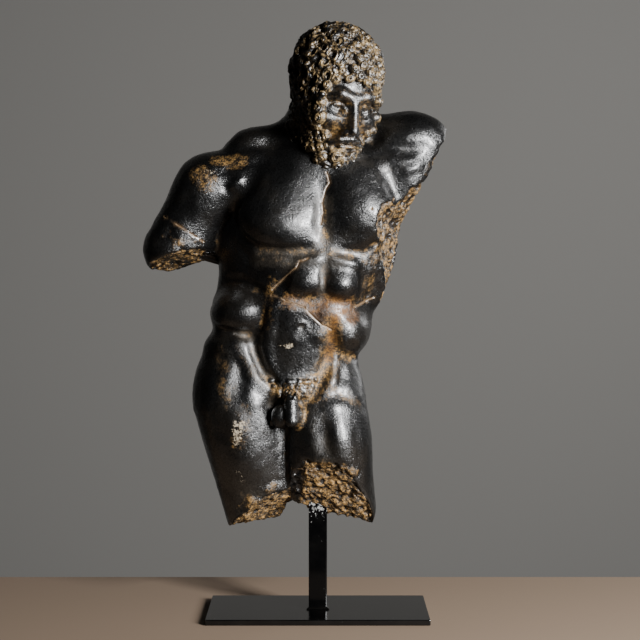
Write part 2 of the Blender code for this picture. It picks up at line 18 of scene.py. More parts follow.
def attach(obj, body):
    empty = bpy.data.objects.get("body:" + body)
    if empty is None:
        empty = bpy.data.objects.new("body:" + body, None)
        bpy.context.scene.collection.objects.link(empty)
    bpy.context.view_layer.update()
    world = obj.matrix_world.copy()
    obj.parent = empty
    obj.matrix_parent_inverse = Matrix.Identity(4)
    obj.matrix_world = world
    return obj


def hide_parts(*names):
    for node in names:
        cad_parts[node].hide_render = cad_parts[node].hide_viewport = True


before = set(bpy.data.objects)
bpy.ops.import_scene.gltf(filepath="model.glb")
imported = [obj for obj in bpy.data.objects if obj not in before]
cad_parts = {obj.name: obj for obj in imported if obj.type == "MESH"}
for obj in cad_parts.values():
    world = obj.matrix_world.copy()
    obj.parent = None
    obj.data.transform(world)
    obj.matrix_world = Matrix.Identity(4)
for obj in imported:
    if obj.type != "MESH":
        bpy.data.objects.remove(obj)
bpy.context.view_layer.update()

# The breaks: where the thighs part, how softly their two cuts meet, and how round an edge is.
THIGHS_PART = -0.039
PART_BLEND = 0.016
BREAK_EDGE = 0.003
ARMPIT_TIP = (0.0877, -0.062, 0.564)

# How far past its reach a mass still counts: for the body, the small forms and the curls.
WIDE_MARGIN = 0.03
SMALL_MARGIN = 0.01
CURL_MARGIN = 0.006

# How points are moved onto a field, and seen from the front or the back.
LONGEST_MOVE = 0.006
SLOPE_STEP = 0.0003
SIGHT_FROM = 0.2
FRONT, BACK = -1, 1
GOLDEN_ANGLE = math.pi * (3 - math.sqrt(5))
OUT_OF_REACH = 10.0

CAMERA_AT = (0.003, -2.166, 0.507)
CAMERA_DIP = 2.56
FOCAL_LENGTH = 87.9
SENSOR_WIDTH = 36

# The head's place on the neck. Its turn is in degrees about X, Y and Z.
HEAD_AT = (0.0255, -0.030, 0.7285)
HEAD_TURN = (22, 4, 28)
HEAD_SCALE = 1.04
HEAD_SPIN = Euler([math.radians(angle) for angle in HEAD_TURN]).to_matrix().to_4x4()
HEAD_PLACE = Matrix.Translation(HEAD_AT) @ HEAD_SPIN @ Matrix.Scale(HEAD_SCALE, 4)


# ---------------------------------------------------------------- masses

def egg(centre, radii, lean=0, blend=0.018, turn=0):
    """An ellipsoid mass. lean is in degrees about Y, and turn after it about Z."""
    spin = Euler((0, math.radians(lean), math.radians(turn))).to_matrix()
    return {
        "centre": np.array(centre),
        "radii": np.array(radii),
        "spin": np.array(spin),
        "reach": max(radii),
        "blend": blend,
    }


def limb(start, end, first, last, blend):
    """A round tapering mass between two points, with a radius at each."""
    start, end = np.array(start), np.array(end)
    return {
        "start": start,
        "end": end,
        "first": first,
        "last": last,
        "centre": (start + end) / 2,
        "reach": np.linalg.norm(end - start) / 2 + max(first, last),
        "blend": blend,
    }


def distance_to(mass, points):
    """Signed distance of each point to one mass, near enough to its surface."""
    if "radii" in mass:
        local = (points - mass["centre"]) @ mass["spin"]
        ratio = np.linalg.norm(local / mass["radii"], axis=1)
        slope = np.linalg.norm(local / mass["radii"] ** 2, axis=1)
        return ratio * (ratio - 1) / np.maximum(slope, 1e-9)
    along = mass["end"] - mass["start"]
    share = np.clip((points - mass["start"]) @ along / (along @ along), 0, 1)
    nearest = mass["start"] + share[:, None] * along
    radius = mass["first"] + share * (mass["last"] - mass["first"])
    return np.linalg.norm(points - nearest, axis=1) - radius


def blended(a, b, width):
    """The lower of two distances, rounded where they meet over this width."""
    near = np.maximum(width - np.abs(a - b), 0) / width
    return np.minimum(a, b) - near * near * width / 4


def joined(masses, points, margin=WIDE_MARGIN):
    """The masses blended together, one after another. A mass counts within the margin of its reach."""
    order = np.argsort(points[:, 2])
    ordered = points[order]
    heights = ordered[:, 2].copy()
    total = np.full(len(points), 1.0)
    for mass in masses:
        reach = mass["reach"] + mass["blend"] + margin
        centre = mass["centre"]
        low, high = np.searchsorted(heights, (centre[2] - reach, centre[2] + reach))
        near = np.abs(ordered[low:high, :2] - centre[:2]).max(axis=1, initial=0) < reach
        spots = low + np.flatnonzero(near)
        if len(spots):
            own = distance_to(mass, ordered[spots])
            total[spots] = blended(total[spots], own, mass["blend"])
    back = np.empty_like(total)
    back[order] = total
    return back


def beyond(point, normal, points):
    """How far each point lies past a plane."""
    normal = np.array(normal) / np.linalg.norm(normal)
    return (points - np.array(point)) @ normal


def along_way(way, points):
    """Each point's distance from a way in space, and how far along it the nearest place is."""
    nearest = np.full(len(points), np.inf)
    place = np.zeros(len(points))
    walked = 0.0
    for a, b in zip(way[:-1], way[1:]):
        along = b - a
        length = np.linalg.norm(along)
        share = np.clip((points - a) @ along / length ** 2, 0, 1)
        offset = np.linalg.norm(points - a - share[:, None] * along, axis=1)
        closer = offset < nearest
        nearest = np.where(closer, offset, nearest)
        place = np.where(closer, walked + share * length, place)
        walked += length
    return nearest, place, walked


def swell(way, width, points):
    """A soft round rise, 1 along a way of points in space, 0 at its width and past its ends."""
    nearest, place, walked = along_way(way, points)
    across = np.clip(1 - (nearest / width) ** 2, 0, 1) ** 2
    from_end = np.minimum(place, walked - place) / min(2 * width, walked / 2)
    return across * (0.25 + 0.75 * np.clip(from_end, 0, 1))


def lumps(points, size, seed=0):
    """Smooth random values from -1 to 1 that change over about this size."""
    scaled = points / size
    cell = np.floor(scaled).astype(np.int64)
    share = scaled - cell
    share = share * share * (3 - 2 * share)
    total = np.zeros(len(points))
    for corner in itertools.product((0, 1), repeat=3):
        mixed = (cell + np.array(corner)) @ np.array([73856093, 19349663, 83492791]) + seed * 7919
        mixed = (mixed ^ (mixed >> 13)) * 1274126177
        value = ((mixed ^ (mixed >> 16)) & 0xFFFF) / 32767.5 - 1
        total += value * np.prod(np.where(np.array(corner) == 1, share, 1 - share), axis=1)
    return total


def eased(value, low, high):
    """0 below low, 1 above high, and a smooth rise between."""
    share = np.clip((value - low) / (high - low), 0, 1)
    return share * share * (3 - 2 * share)


def chance(number, salt):
    """An even random value from 0 to 1 that a number always gets."""
    return math.modf(abs(math.sin(number * 12.9898 + salt * 78.233) * 43758.5453))[0]


# ---------------------------------------------------------------- the body

def trunk():
    return [
        egg((0.000, 0.004, 0.545), (0.102, 0.072, 0.115), 5, 0.03),
        egg((0.004, 0.010, 0.598), (0.100, 0.054, 0.052), 9, 0.03),
        egg((-0.024, 0.004, 0.445), (0.098, 0.060, 0.095), 8, 0.05),
        egg((-0.050, 0.010, 0.345), (0.094, 0.062, 0.070), -4, 0.04),
        egg((-0.092, 0.020, 0.532), (0.046, 0.050, 0.084), 8, 0.03),
        egg((0.080, 0.020, 0.545), (0.046, 0.052, 0.104), 4, 0.03),
        egg((0.000, -0.034, 0.490), (0.070, 0.036, 0.040), 0, 0.03),
    ]


def neck_and_shoulders():
    return [
        limb((0.006, 0.014, 0.625), (0.016, 0.004, 0.720), 0.056, 0.050, 0.03),
        limb((-0.020, 0.024, 0.660), (-0.090, 0.014, 0.640), 0.034, 0.032, 0.025),
        limb((-0.090, 0.014, 0.640), (-0.132, 0.008, 0.608), 0.032, 0.030, 0.020),
        limb((0.040, 0.022, 0.664), (0.125, 0.014, 0.664), 0.034, 0.030, 0.025),
        limb((0.014, 0.032, 0.680), (0.002, 0.036, 0.560), 0.036, 0.038, 0.04),
    ]


def chest():
    return [
        egg((-0.047, -0.042, 0.552), (0.061, 0.038, 0.049), 8, 0.020),
        egg((-0.050, -0.057, 0.538), (0.038, 0.026, 0.025), 6, 0.018),
        egg((0.058, -0.044, 0.556), (0.048, 0.038, 0.049), -6, 0.020),
        limb((-0.036, -0.028, 0.592), (-0.120, -0.010, 0.600), 0.031, 0.032, 0.022),
        limb((0.046, -0.033, 0.592), (0.122, -0.010, 0.630), 0.031, 0.032, 0.020),
    ]


def arms():
    return [
        egg((-0.152, 0.004, 0.590), (0.043, 0.049, 0.050), 24, 0.012),
        limb((-0.152, 0.006, 0.592), (-0.197, 0.008, 0.508), 0.043, 0.0455, 0.02),
        egg((0.132, 0.004, 0.654), (0.053, 0.046, 0.044), 8, 0.014),
        egg((0.122, 0.004, 0.605), (0.040, 0.048, 0.060), 10, 0.016),
    ]


def belly():
    return [
        egg((-0.101, 0.000, 0.422), (0.048, 0.062, 0.038), -12, 0.012),
        egg((-0.086, 0.030, 0.430), (0.052, 0.036, 0.060), 0, 0.030),
        limb((-0.088, 0.036, 0.510), (-0.092, 0.036, 0.340), 0.034, 0.036, 0.030),
        egg((0.035, -0.010, 0.398), (0.036, 0.054, 0.037), 8, 0.014),
        limb((0.040, 0.006, 0.456), (0.032, 0.008, 0.400), 0.037, 0.034, 0.020),
        egg((-0.110, 0.004, 0.372), (0.048, 0.054, 0.032), 0, 0.014),
        egg((-0.024, -0.018, 0.402), (0.064, 0.048, 0.056), 12, 0.020),
        egg((-0.033, -0.002, 0.350), (0.052, 0.046, 0.042), 0, 0.030),
        egg((-0.007, -0.060, 0.493), (0.020, 0.016, 0.010), 4, 0.008),
        egg((0.033, -0.057, 0.491), (0.024, 0.018, 0.0105), 14, 0.008),
        egg((-0.015, -0.050, 0.465), (0.0285, 0.031, 0.0245), 0, 0.012),
        egg((0.030, -0.050, 0.462), (0.0262, 0.031, 0.024), 6, 0.012),
        egg((-0.040, -0.040, 0.431), (0.040, 0.028, 0.022), 8, 0.016),
        egg((0.014, -0.036, 0.428), (0.038, 0.030, 0.024), 8, 0.020),
    ]


def ribs():
    """The teeth of muscle over the ribs, below each breast and on the flanks."""
    return [
        egg((middle + side * (0.070 + 0.004 * row), 0.010 * row - 0.026, 0.500 - 0.019 * row),
            (0.020, 0.022, 0.0095), side * 30, 0.012, side * 35)
        for side, middle in ((-1, 0.004), (1, 0.000))
        for row in range(4)
    ]


def hips_and_thighs():
    return [
        egg((-0.110, 0.006, 0.334), (0.058, 0.056, 0.056), -8, 0.012),
        limb((-0.114, 0.000, 0.298), (-0.085, 0.012, 0.140), 0.060, 0.044, 0.02),
        egg((-0.104, -0.020, 0.262), (0.046, 0.044, 0.080), -10, 0.02),
        egg((0.008, 0.004, 0.325), (0.052, 0.054, 0.050), 6, 0.02),
        limb((0.010, -0.004, 0.290), (0.021, 0.000, 0.150), 0.056, 0.060, 0.02),
        egg((0.018, -0.020, 0.245), (0.046, 0.046, 0.070), -4, 0.03),
        limb((-0.074, -0.014, 0.265), (-0.067, -0.006, 0.165), 0.029, 0.027, 0.02),
        limb((-0.007, -0.020, 0.265), (-0.002, -0.012, 0.160), 0.037, 0.036, 0.02),
        egg((-0.098, 0.046, 0.318), (0.056, 0.044, 0.054), 0, 0.012),
        egg((0.002, 0.042, 0.312), (0.052, 0.042, 0.052), 0, 0.012),
        egg((-0.036, -0.021, 0.318), (0.034, 0.036, 0.022), 0, 0.020),
    ]


def loins():
    return [
        egg((-0.050, -0.058, 0.282), (0.0125, 0.013, 0.017), 0, 0.004),
        egg((-0.030, -0.056, 0.283), (0.0125, 0.013, 0.018), 0, 0.004),
        limb((-0.036, -0.060, 0.309), (-0.035, -0.073, 0.277), 0.0105, 0.0085, 0.004),
    ]


def back():
    return [
        egg((-0.058, 0.044, 0.585), (0.054, 0.028, 0.058), 10, 0.026),
        egg((0.062, 0.044, 0.590), (0.054, 0.028, 0.058), -10, 0.026),
        limb((-0.112, 0.030, 0.560), (-0.066, 0.044, 0.470), 0.032, 0.026, 0.03),
        limb((0.108, 0.032, 0.566), (0.056, 0.044, 0.474), 0.032, 0.026, 0.03),
        limb((-0.064, 0.040, 0.370), (-0.032, 0.036, 0.510), 0.029, 0.026, 0.03),
        limb((-0.024, 0.040, 0.370), (0.020, 0.036, 0.510), 0.029, 0.026, 0.03),
    ]


def body_masses():
    return (
        trunk() + neck_and_shoulders() + chest() + arms() + ribs() + belly()
        + hips_and_thighs() + back() + loins()
    )


# Each stroke is a width, a rise (or a depth below 0) and a way in (x, z), as seen from the front.
FRONT_STROKES = {
    "breastbone": (0.015, -0.0045, [(0.008, 0.600), (0.006, 0.574), (0.004, 0.545), (0.010, 0.512)]),
    "under right breast": (0.013, -0.004, [(0.006, 0.510), (-0.017, 0.505), (-0.050, 0.505),
                                           (-0.081, 0.511), (-0.104, 0.528), (-0.116, 0.556)]),
    "under left breast": (0.013, -0.0028, [(0.014, 0.510), (0.036, 0.504), (0.062, 0.505),
                                           (0.082, 0.519), (0.092, 0.540)]),
    "right shoulder seam": (0.018, -0.0045, [(-0.078, 0.622), (-0.094, 0.590), (-0.114, 0.560)]),
    "left shoulder seam": (0.022, -0.006, [(0.078, 0.640), (0.094, 0.612), (0.108, 0.588)]),
    "right shoulder bump": (0.017, 0.0048, [(-0.114, 0.602), (-0.107, 0.593)]),
    "right shoulder dimple": (0.010, -0.002, [(-0.128, 0.596), (-0.122, 0.586)]),
    "left shoulder dent": (0.015, -0.004, [(0.102, 0.640), (0.126, 0.642), (0.146, 0.645)]),
    "left shoulder bump": (0.020, 0.0036, [(0.126, 0.626), (0.133, 0.610)]),
    "white line": (0.010, -0.0038, [(0.0105, 0.497), (0.0085, 0.474), (0.0075, 0.450)]),
    "white line below": (0.014, -0.0014, [(0.008, 0.447), (-0.005, 0.424), (-0.018, 0.400)]),
    "under the abdomen": (0.015, -0.0034, [(-0.045, 0.444), (-0.017, 0.439), (0.010, 0.440),
                                           (0.034, 0.436), (0.054, 0.431)]),
    "right flank line": (0.016, -0.004, [(-0.036, 0.490), (-0.047, 0.467), (-0.060, 0.446)]),
    "left flank line": (0.014, -0.0036, [(0.062, 0.484), (0.060, 0.463), (0.053, 0.440)]),
    "right flank ridge": (0.014, 0.004, [(-0.060, 0.436), (-0.064, 0.410), (-0.069, 0.375),
                                         (-0.064, 0.345)]),
    "beside right roll": (0.011, -0.0026, [(-0.069, 0.436), (-0.074, 0.414), (-0.085, 0.395)]),
    "over right roll": (0.013, -0.0036, [(-0.134, 0.458), (-0.122, 0.465), (-0.104, 0.465),
                                         (-0.085, 0.454), (-0.064, 0.443)]),
    "under right roll": (0.010, -0.0045, [(-0.138, 0.403), (-0.120, 0.397), (-0.098, 0.392),
                                          (-0.078, 0.385)]),
    "right groin": (0.012, -0.005, [(-0.092, 0.389), (-0.083, 0.364), (-0.073, 0.343),
                                    (-0.060, 0.327), (-0.048, 0.320)]),
    "right groin band": (0.016, 0.004, [(-0.108, 0.388), (-0.100, 0.362), (-0.088, 0.338),
                                        (-0.070, 0.317), (-0.054, 0.306)]),
    "left groin": (0.013, -0.0055, [(0.020, 0.388), (0.015, 0.364), (0.006, 0.338),
                                    (-0.004, 0.317), (-0.020, 0.301)]),
    "round left roll": (0.012, -0.004, [(0.017, 0.408), (0.020, 0.388), (0.027, 0.372),
                                        (0.040, 0.362), (0.056, 0.361)]),
    "over left roll": (0.014, -0.003, [(0.026, 0.424), (0.045, 0.421), (0.064, 0.418)]),
    "left hip bundle": (0.011, 0.0034, [(0.024, 0.345), (0.021, 0.330), (0.016, 0.318)]),
    "left hip fold": (0.012, -0.003, [(0.030, 0.318), (0.034, 0.334), (0.036, 0.350)]),
    "left thigh top": (0.016, -0.0024, [(-0.010, 0.297), (0.004, 0.307), (0.024, 0.313),
                                        (0.042, 0.307), (0.056, 0.294)]),
    "right hip ridge": (0.018, 0.003, [(-0.117, 0.376), (-0.119, 0.350), (-0.125, 0.322)]),
    "right hip hollow": (0.020, -0.0034, [(-0.106, 0.350), (-0.109, 0.318), (-0.118, 0.286)]),
    "right thigh ridge": (0.022, 0.0045, [(-0.092, 0.332), (-0.083, 0.305), (-0.074, 0.268)]),
    "right thigh side": (0.020, -0.003, [(-0.136, 0.300), (-0.132, 0.262), (-0.122, 0.222)]),
    "left thigh ridge": (0.024, 0.005, [(0.026, 0.290), (0.034, 0.250), (0.040, 0.210)]),
    "between the thighs": (0.007, -0.012, [(-0.042, 0.268), (-0.043, 0.215), (-0.042, 0.165)]),
    "left thigh hollow": (0.018, -0.0035, [(0.006, 0.290), (0.009, 0.250), (0.014, 0.215)]),
    "right collarbone": (0.016, 0.0035, [(-0.006, 0.622), (-0.040, 0.634), (-0.080, 0.636),
                                         (-0.112, 0.632)]),
    "over right collarbone": (0.014, -0.003, [(-0.030, 0.652), (-0.070, 0.652), (-0.100, 0.648)]),
    "left collarbone": (0.018, 0.003, [(0.022, 0.624), (0.055, 0.640), (0.100, 0.658), (0.140, 0.664)]),
    "right nipple": (0.0045, 0.0016, [(-0.0735, 0.5285), (-0.0715, 0.5285)]),
    "left nipple": (0.0045, 0.0016, [(0.0775, 0.533), (0.0795, 0.533)]),
    "navel": (0.0065, -0.0055, [(-0.0225, 0.4045), (-0.0195, 0.403)]),
    "navel lip": (0.004, 0.0018, [(-0.029, 0.403), (-0.0265, 0.4085), (-0.0205, 0.410),
                                  (-0.0155, 0.407), (-0.015, 0.401)]),
    "beside navel": (0.014, 0.006, [(0.000, 0.393), (0.003, 0.3925)]),
    "below navel": (0.012, 0.002, [(-0.033, 0.387), (-0.028, 0.387)]),
    "left roll ring": (0.0032, 0.0016, [(0.036, 0.380), (0.040, 0.387), (0.048, 0.388),
                                        (0.056, 0.383), (0.057, 0.374), (0.050, 0.368)]),
    "left roll dimple": (0.009, -0.0022, [(0.045, 0.377), (0.048, 0.377)]),
}
# The same, seen from behind.
BACK_STROKES = {
    "spine": (0.026, -0.0085, [(0.006, 0.650), (-0.004, 0.540), (-0.020, 0.460),
                               (-0.042, 0.380), (-0.050, 0.350)]),
    "between the buttocks": (0.012, -0.008, [(-0.050, 0.345), (-0.049, 0.310), (-0.046, 0.270)]),
    "under right shoulder blade": (0.012, -0.0035, [(-0.028, 0.545), (-0.060, 0.522), (-0.095, 0.535)]),
    "under left shoulder blade": (0.012, -0.0035, [(0.030, 0.550), (0.062, 0.530), (0.092, 0.545)]),
    "right shoulder blade": (0.014, 0.0035, [(-0.028, 0.615), (-0.070, 0.622), (-0.115, 0.618)]),
    "left shoulder blade": (0.014, 0.0035, [(0.036, 0.622), (0.078, 0.632), (0.122, 0.640)]),
    "right blade edge": (0.012, -0.003, [(-0.024, 0.600), (-0.026, 0.570), (-0.034, 0.542)]),
    "left blade edge": (0.012, -0.003, [(0.030, 0.606), (0.030, 0.576), (0.036, 0.548)]),
    "right side seam": (0.014, -0.003, [(-0.100, 0.512), (-0.082, 0.462), (-0.080, 0.425)]),
    "left side seam": (0.014, -0.003, [(0.092, 0.515), (0.060, 0.465), (0.036, 0.420)]),
    "right loin dimple": (0.012, -0.0035, [(-0.074, 0.366), (-0.070, 0.360)]),
    "left loin dimple": (0.012, -0.0035, [(-0.020, 0.364), (-0.024, 0.358)]),
    "under right buttock": (0.012, -0.005, [(-0.135, 0.285), (-0.100, 0.272), (-0.065, 0.270)]),
    "under left buttock": (0.012, -0.005, [(-0.032, 0.268), (0.000, 0.266), (0.040, 0.276)]),
    "back of right thigh": (0.014, -0.003, [(-0.100, 0.262), (-0.092, 0.215), (-0.088, 0.175)]),
    "back of left thigh": (0.014, -0.003, [(0.008, 0.258), (0.014, 0.215), (0.016, 0.175)]),
}


# ---------------------------------------------------------------- carving

def on_skin(field, way, side=FRONT):
    """Where sight lines through the way, from the front or the back, meet the field."""
    sight = np.array((0, -side, 0))
    points = np.array([Vector((x, side * SIGHT_FROM, z))[:] for x, z in way])
    for _ in range(60):
        points += sight * np.minimum(field(points), LONGEST_MOVE)[:, None]
    return points


def carved(field, strokes, side=FRONT):
    """The field with strokes laid on its skin: each is its width, its rise and its way in (x, z)."""
    laid = [(width, rise, on_skin(field, way, side)) for width, rise, way in strokes]

    def after(points):
        total = field(points)
        for width, rise, way in laid:
            low, high = way.min(axis=0) - width, way.max(axis=0) + width
            close = ((points > low) & (points < high)).all(axis=1)
            if close.any():
                total[close] -= rise * swell(way, width, points[close])
        return total

    return after


def loin_curls(field):
    """Rows of small tight curls over the loins, in from the folds of the groin."""
    tufts = []
    for row in range(4):
        height = 0.3285 - 0.0068 * row
        half = 0.029 - 0.0035 * row
        count = 9 - row
        for step in range(count):
            across = -0.0345 + half * (2 * (step + 0.5 * chance(step, row)) / (count - 1) - 1)
            drop = 0.0025 * (chance(step, row + 5) - 0.5) + 3.0 * (across + 0.0345) ** 2
            centre = on_skin(field, [(across, height + drop)])[0]
            size = 0.0036 + 0.001 * chance(step, row + 9)
            tufts.append(egg(centre, (size, 0.0042, size * 0.85), 90 * chance(step, row), 0.0012))
    return tufts


def cuts(points):
    """How far each point lies past the breaks of the arm, the shoulder with the flank, and the legs."""
    x, z = points[:, 0], points[:, 2]
    jag = 0.0022 * lumps(points, 0.014, 1) + 0.0012 * lumps(points, 0.006, 2)
    arm = beyond((-0.195, 0.000, 0.493), (0.25, -0.30, -1.0), points)
    arm_front = beyond((-0.195, -0.038, 0.503), (0.22, -0.74, -0.62), points)
    by_arm = np.minimum(-0.148 - x, z - 0.430)
    shoulder = beyond((0.1495, -0.030, 0.6075), (0.90, 0.06, -0.43), points)
    flank = beyond((0.1068, 0.030, 0.507), (0.96, -0.25, -0.06), points)
    flank = flank + 0.0035 * lumps(points, 0.022, 4)
    waist = beyond((0.0968, 0.030, 0.4603), (0.91, 0.00, -0.41), points)
    armpit = beyond(ARMPIT_TIP, (0.65, -0.38, -0.66), points) + 0.003 * lumps(points, 0.020, 3)
    armpit_end = beyond(ARMPIT_TIP, (0.78, 0.00, 0.62), points)
    side = np.minimum(shoulder, np.maximum(flank, waist))
    side = np.maximum(side, np.minimum(armpit, np.maximum(armpit_end, flank)))
    right_leg = beyond((-0.090, 0.000, 0.129), (0.19, -0.12, -1.0), points)
    right_leg_front = beyond((-0.0523, -0.040, 0.180), (0.60, -0.60, -1.0), points)
    left_leg = beyond((0.022, 0.000, 0.141), (-0.27, 0.00, -1.0), points)
    left_leg_front = beyond((0.022, -0.062, 0.213), (-0.25, -1.35, -1.0), points)
    right_leg = np.maximum(right_leg, right_leg_front)
    left_leg = np.maximum(left_leg, left_leg_front)
    on_the_left = np.clip((x - THIGHS_PART) / PART_BLEND + 0.5, 0, 1)
    return [
        np.minimum(np.maximum(arm, arm_front) + jag, by_arm),
        np.minimum(side + jag, z - 0.412),
        right_leg + (left_leg - right_leg) * on_the_left + jag,
    ]


def whole_body():
    """The body's field before it was broken."""
    smooth = carved(lambda points: joined(body_masses(), points), FRONT_STROKES.values())
    smooth = carved(smooth, BACK_STROKES.values(), BACK)
    tufts = loin_curls(smooth)
    return lambda points: blended(smooth(points), joined(tufts, points, CURL_MARGIN), 0.0012)


def broken(field):
    """The field with the breaks cut away."""
    def after(points):
        total = field(points)
        for cut in cuts(points):
            total = -blended(-total, -cut, BREAK_EDGE)
        return total

    return after


# ---------------------------------------------------------------- from fields to skins

def rough_block(masses):
    """Every mass as a ball or a row of balls, in one mesh."""
    block = bmesh.new()
    for mass in masses:
        if "radii" in mass:
            spin = Matrix(mass["spin"].tolist()).to_4x4()
            scale = Matrix.Diagonal((*mass["radii"], 1))
            place = Matrix.Translation(mass["centre"]) @ spin @ scale
            bmesh.ops.create_icosphere(block, subdivisions=3, radius=1, matrix=place)
            continue
        length = np.linalg.norm(mass["end"] - mass["start"])
        count = max(2, math.ceil(length / (0.5 * min(mass["first"], mass["last"]))))
        for step in range(count + 1):
            share = step / count
            radius = mass["first"] + share * (mass["last"] - mass["first"])
            place = Matrix.Translation(mass["start"] + share * (mass["end"] - mass["start"]))
            bmesh.ops.create_icosphere(block, subdivisions=3, radius=radius, matrix=place)
    return block


def new_piece(name, bm):
    mesh = bpy.data.meshes.new(name)
    bm.to_mesh(mesh)
    bm.free()
    obj = bpy.data.objects.new(name, mesh)
    bpy.context.scene.collection.objects.link(obj)
    return obj


def applied(obj):
    """The object with its modifiers made part of its mesh."""
    graph = bpy.context.evaluated_depsgraph_get()
    mesh = bpy.data.meshes.new_from_object(obj.evaluated_get(graph))
    obj.modifiers.clear()
    old, obj.data = obj.data, mesh
    bpy.data.meshes.remove(old)
    return obj


def remeshed(obj, voxel):
    """The object with one even skin, its voxel remesh applied."""
    modifier = obj.modifiers.new("skin", "REMESH")
    modifier.mode = "VOXEL"
    modifier.voxel_size = voxel
    return applied(obj)


def thinned(obj, limit):
    """The object with its flattest faces merged until the limit of triangles is kept."""
    obj.data.calc_loop_triangles()
    modifier = obj.modifiers.new("thin", "DECIMATE")
    modifier.ratio = min(1, limit / len(obj.data.loop_triangles))
    return applied(obj)


def points_of(obj):
    points = np.empty(len(obj.data.vertices) * 3)
    obj.data.vertices.foreach_get("co", points)
    return points.reshape(-1, 3)


def normals_of(obj):
    normals = np.empty(len(obj.data.vertices) * 3, dtype=np.float32)
    obj.data.vertex_normals.foreach_get("vector", normals)
    return normals.reshape(-1, 3).astype(float)


def place_points(obj, points):
    obj.data.vertices.foreach_set("co", points.ravel())
    obj.data.update()


def slope_of(field, points, here):
    """The field's steepest direction at each point, by small steps along each axis."""
    slope = np.empty_like(points)
    for axis in range(3):
        moved = points.copy()
        moved[:, axis] += SLOPE_STEP
        slope[:, axis] = (field(moved) - here) / SLOPE_STEP
    return slope


def settle(obj, field, rounds):
    """Moves the object's skin onto the field's zero by capped Newton steps."""
    points = points_of(obj)
    for turn in range(rounds):
        here = field(points)
        if turn % 3 == 0:
            slope = slope_of(field, points, here)
            steep = np.maximum((slope ** 2).sum(axis=1), 0.25)
        move = slope * (here / steep)[:, None]
        length = np.linalg.norm(move, axis=1, keepdims=True)
        points -= move * np.minimum(1, LONGEST_MOVE / np.maximum(length, 1e-9))
    place_points(obj, points)


def skinned(name, masses, field, stages):
    """A piece whose one even skin is settled on the field, from coarse to fine."""
    piece = new_piece(name, rough_block(masses))
    for voxel, rounds in stages:
        settle(remeshed(piece, voxel), field, rounds)
    return piece


def refine(obj, wanted):
    """Cuts the object's faces between wanted points in four."""
    marks = wanted(points_of(obj))
    bm = bmesh.new()
    bm.from_mesh(obj.data)
    edges = [e for e in bm.edges if marks[e.verts[0].index] and marks[e.verts[1].index]]
    bmesh.ops.subdivide_edges(bm, edges=edges, cuts=1, use_grid_fill=True)
    bm.to_mesh(obj.data)
    bm.free()


def neighbours(obj):
    """The two ends of every edge, as two arrays of point numbers."""
    ends = np.empty(len(obj.data.edges) * 2, dtype=np.int64)
    obj.data.edges.foreach_get("vertices", ends)
    return ends.reshape(-1, 2).T


def averaged(values, ends, rounds):
    """Values on the points, each drawn half way to its neighbours' average, round after round."""
    one, other = ends
    count = np.bincount(one, minlength=len(values)) + np.bincount(other, minlength=len(values))
    for _ in range(rounds):
        columns = []
        for column in values.T:
            total = np.bincount(one, column[other], len(values))
            total += np.bincount(other, column[one], len(values))
            columns.append(total / np.maximum(count, 1))
        values = (values + np.array(columns).T) / 2
    return values


def hollowness(obj, rounds):
    """How far each point lies below the average of the skin round it, in metres."""
    points = points_of(obj)
    smooth = averaged(points, neighbours(obj), rounds)
    return ((smooth - points) * normals_of(obj)).sum(axis=1)


def paint(obj, name, values):
    """Keeps one number for each point of the skin, for the material to read."""
    layer = obj.data.attributes.new(name, "FLOAT", "POINT")
    layer.data.foreach_set("value", values.astype(np.float32))


# ---------------------------------------------------------------- the head
# It is modelled in its own frame, upright and looking along -Y, and put in its place at the end.

def mirrored(side, points):
    """The points of one side of the face, put on the side that is asked for."""
    return [(side * point[0], *point[1:]) for point in points]


def skull():
    return [
        egg((0, 0.010, 0.017), (0.052, 0.062, 0.0555), blend=0.02),
        egg((0, -0.018, -0.024), (0.041, 0.043, 0.053), blend=0.015),
        egg((0, -0.033, -0.072), (0.033, 0.028, 0.025), blend=0.014),
        limb((0, 0.006, -0.040), (0, 0.022, -0.085), 0.042, 0.042, 0.02),
    ]


def face():
    masses = [
        limb((0, -0.048, -0.004), (0, -0.058, -0.037), 0.008, 0.011, 0.008),
        limb((0, -0.056, 0.000), (0, -0.0725, -0.034), 0.0045, 0.006, 0.006),
        egg((0, -0.0735, -0.038), (0.007, 0.0065, 0.0058), blend=0.004),
        egg((0, -0.058, -0.053), (0.017, 0.010, 0.011), blend=0.008),
        limb((-0.0085, -0.0645, -0.0605), (0.0085, -0.0645, -0.0605), 0.003, 0.003, 0.002),
    ]
    for side in (-1, 1):
        inner, arch, outer = mirrored(side, [
            (0.008, -0.0555, 0.002), (0.019, -0.053, 0.0045), (0.031, -0.042, 0.0005)])
        nose_wing, cheek, lip_corner, lip_peak = mirrored(side, [
            (0.0078, -0.0675, -0.0415), (0.028, -0.043, -0.030),
            (0.012, -0.0605, -0.0575), (0.0025, -0.068, -0.0545)])
        masses += [
            limb(inner, arch, 0.0045, 0.0048, 0.009),
            limb(arch, outer, 0.0048, 0.004, 0.009),
            egg(nose_wing, (0.0046, 0.0062, 0.0046), blend=0.003),
            egg(cheek, (0.014, 0.014, 0.012), blend=0.014),
            limb(lip_corner, lip_peak, 0.0018, 0.0026, 0.002),
        ]
    return masses


def moustache():
    masses = []
    thick = (0.004, 0.0048, 0.0044, 0.003)
    for side in (-1, 1):
        way = mirrored(side, [
            (0.003, -0.069, -0.049), (0.012, -0.0655, -0.0515),
            (0.021, -0.058, -0.058), (0.026, -0.052, -0.068)])
        for start, end, first, last in zip(way, way[1:], thick, thick[1:]):
            masses.append(limb(start, end, first, last, 0.002))
    return masses


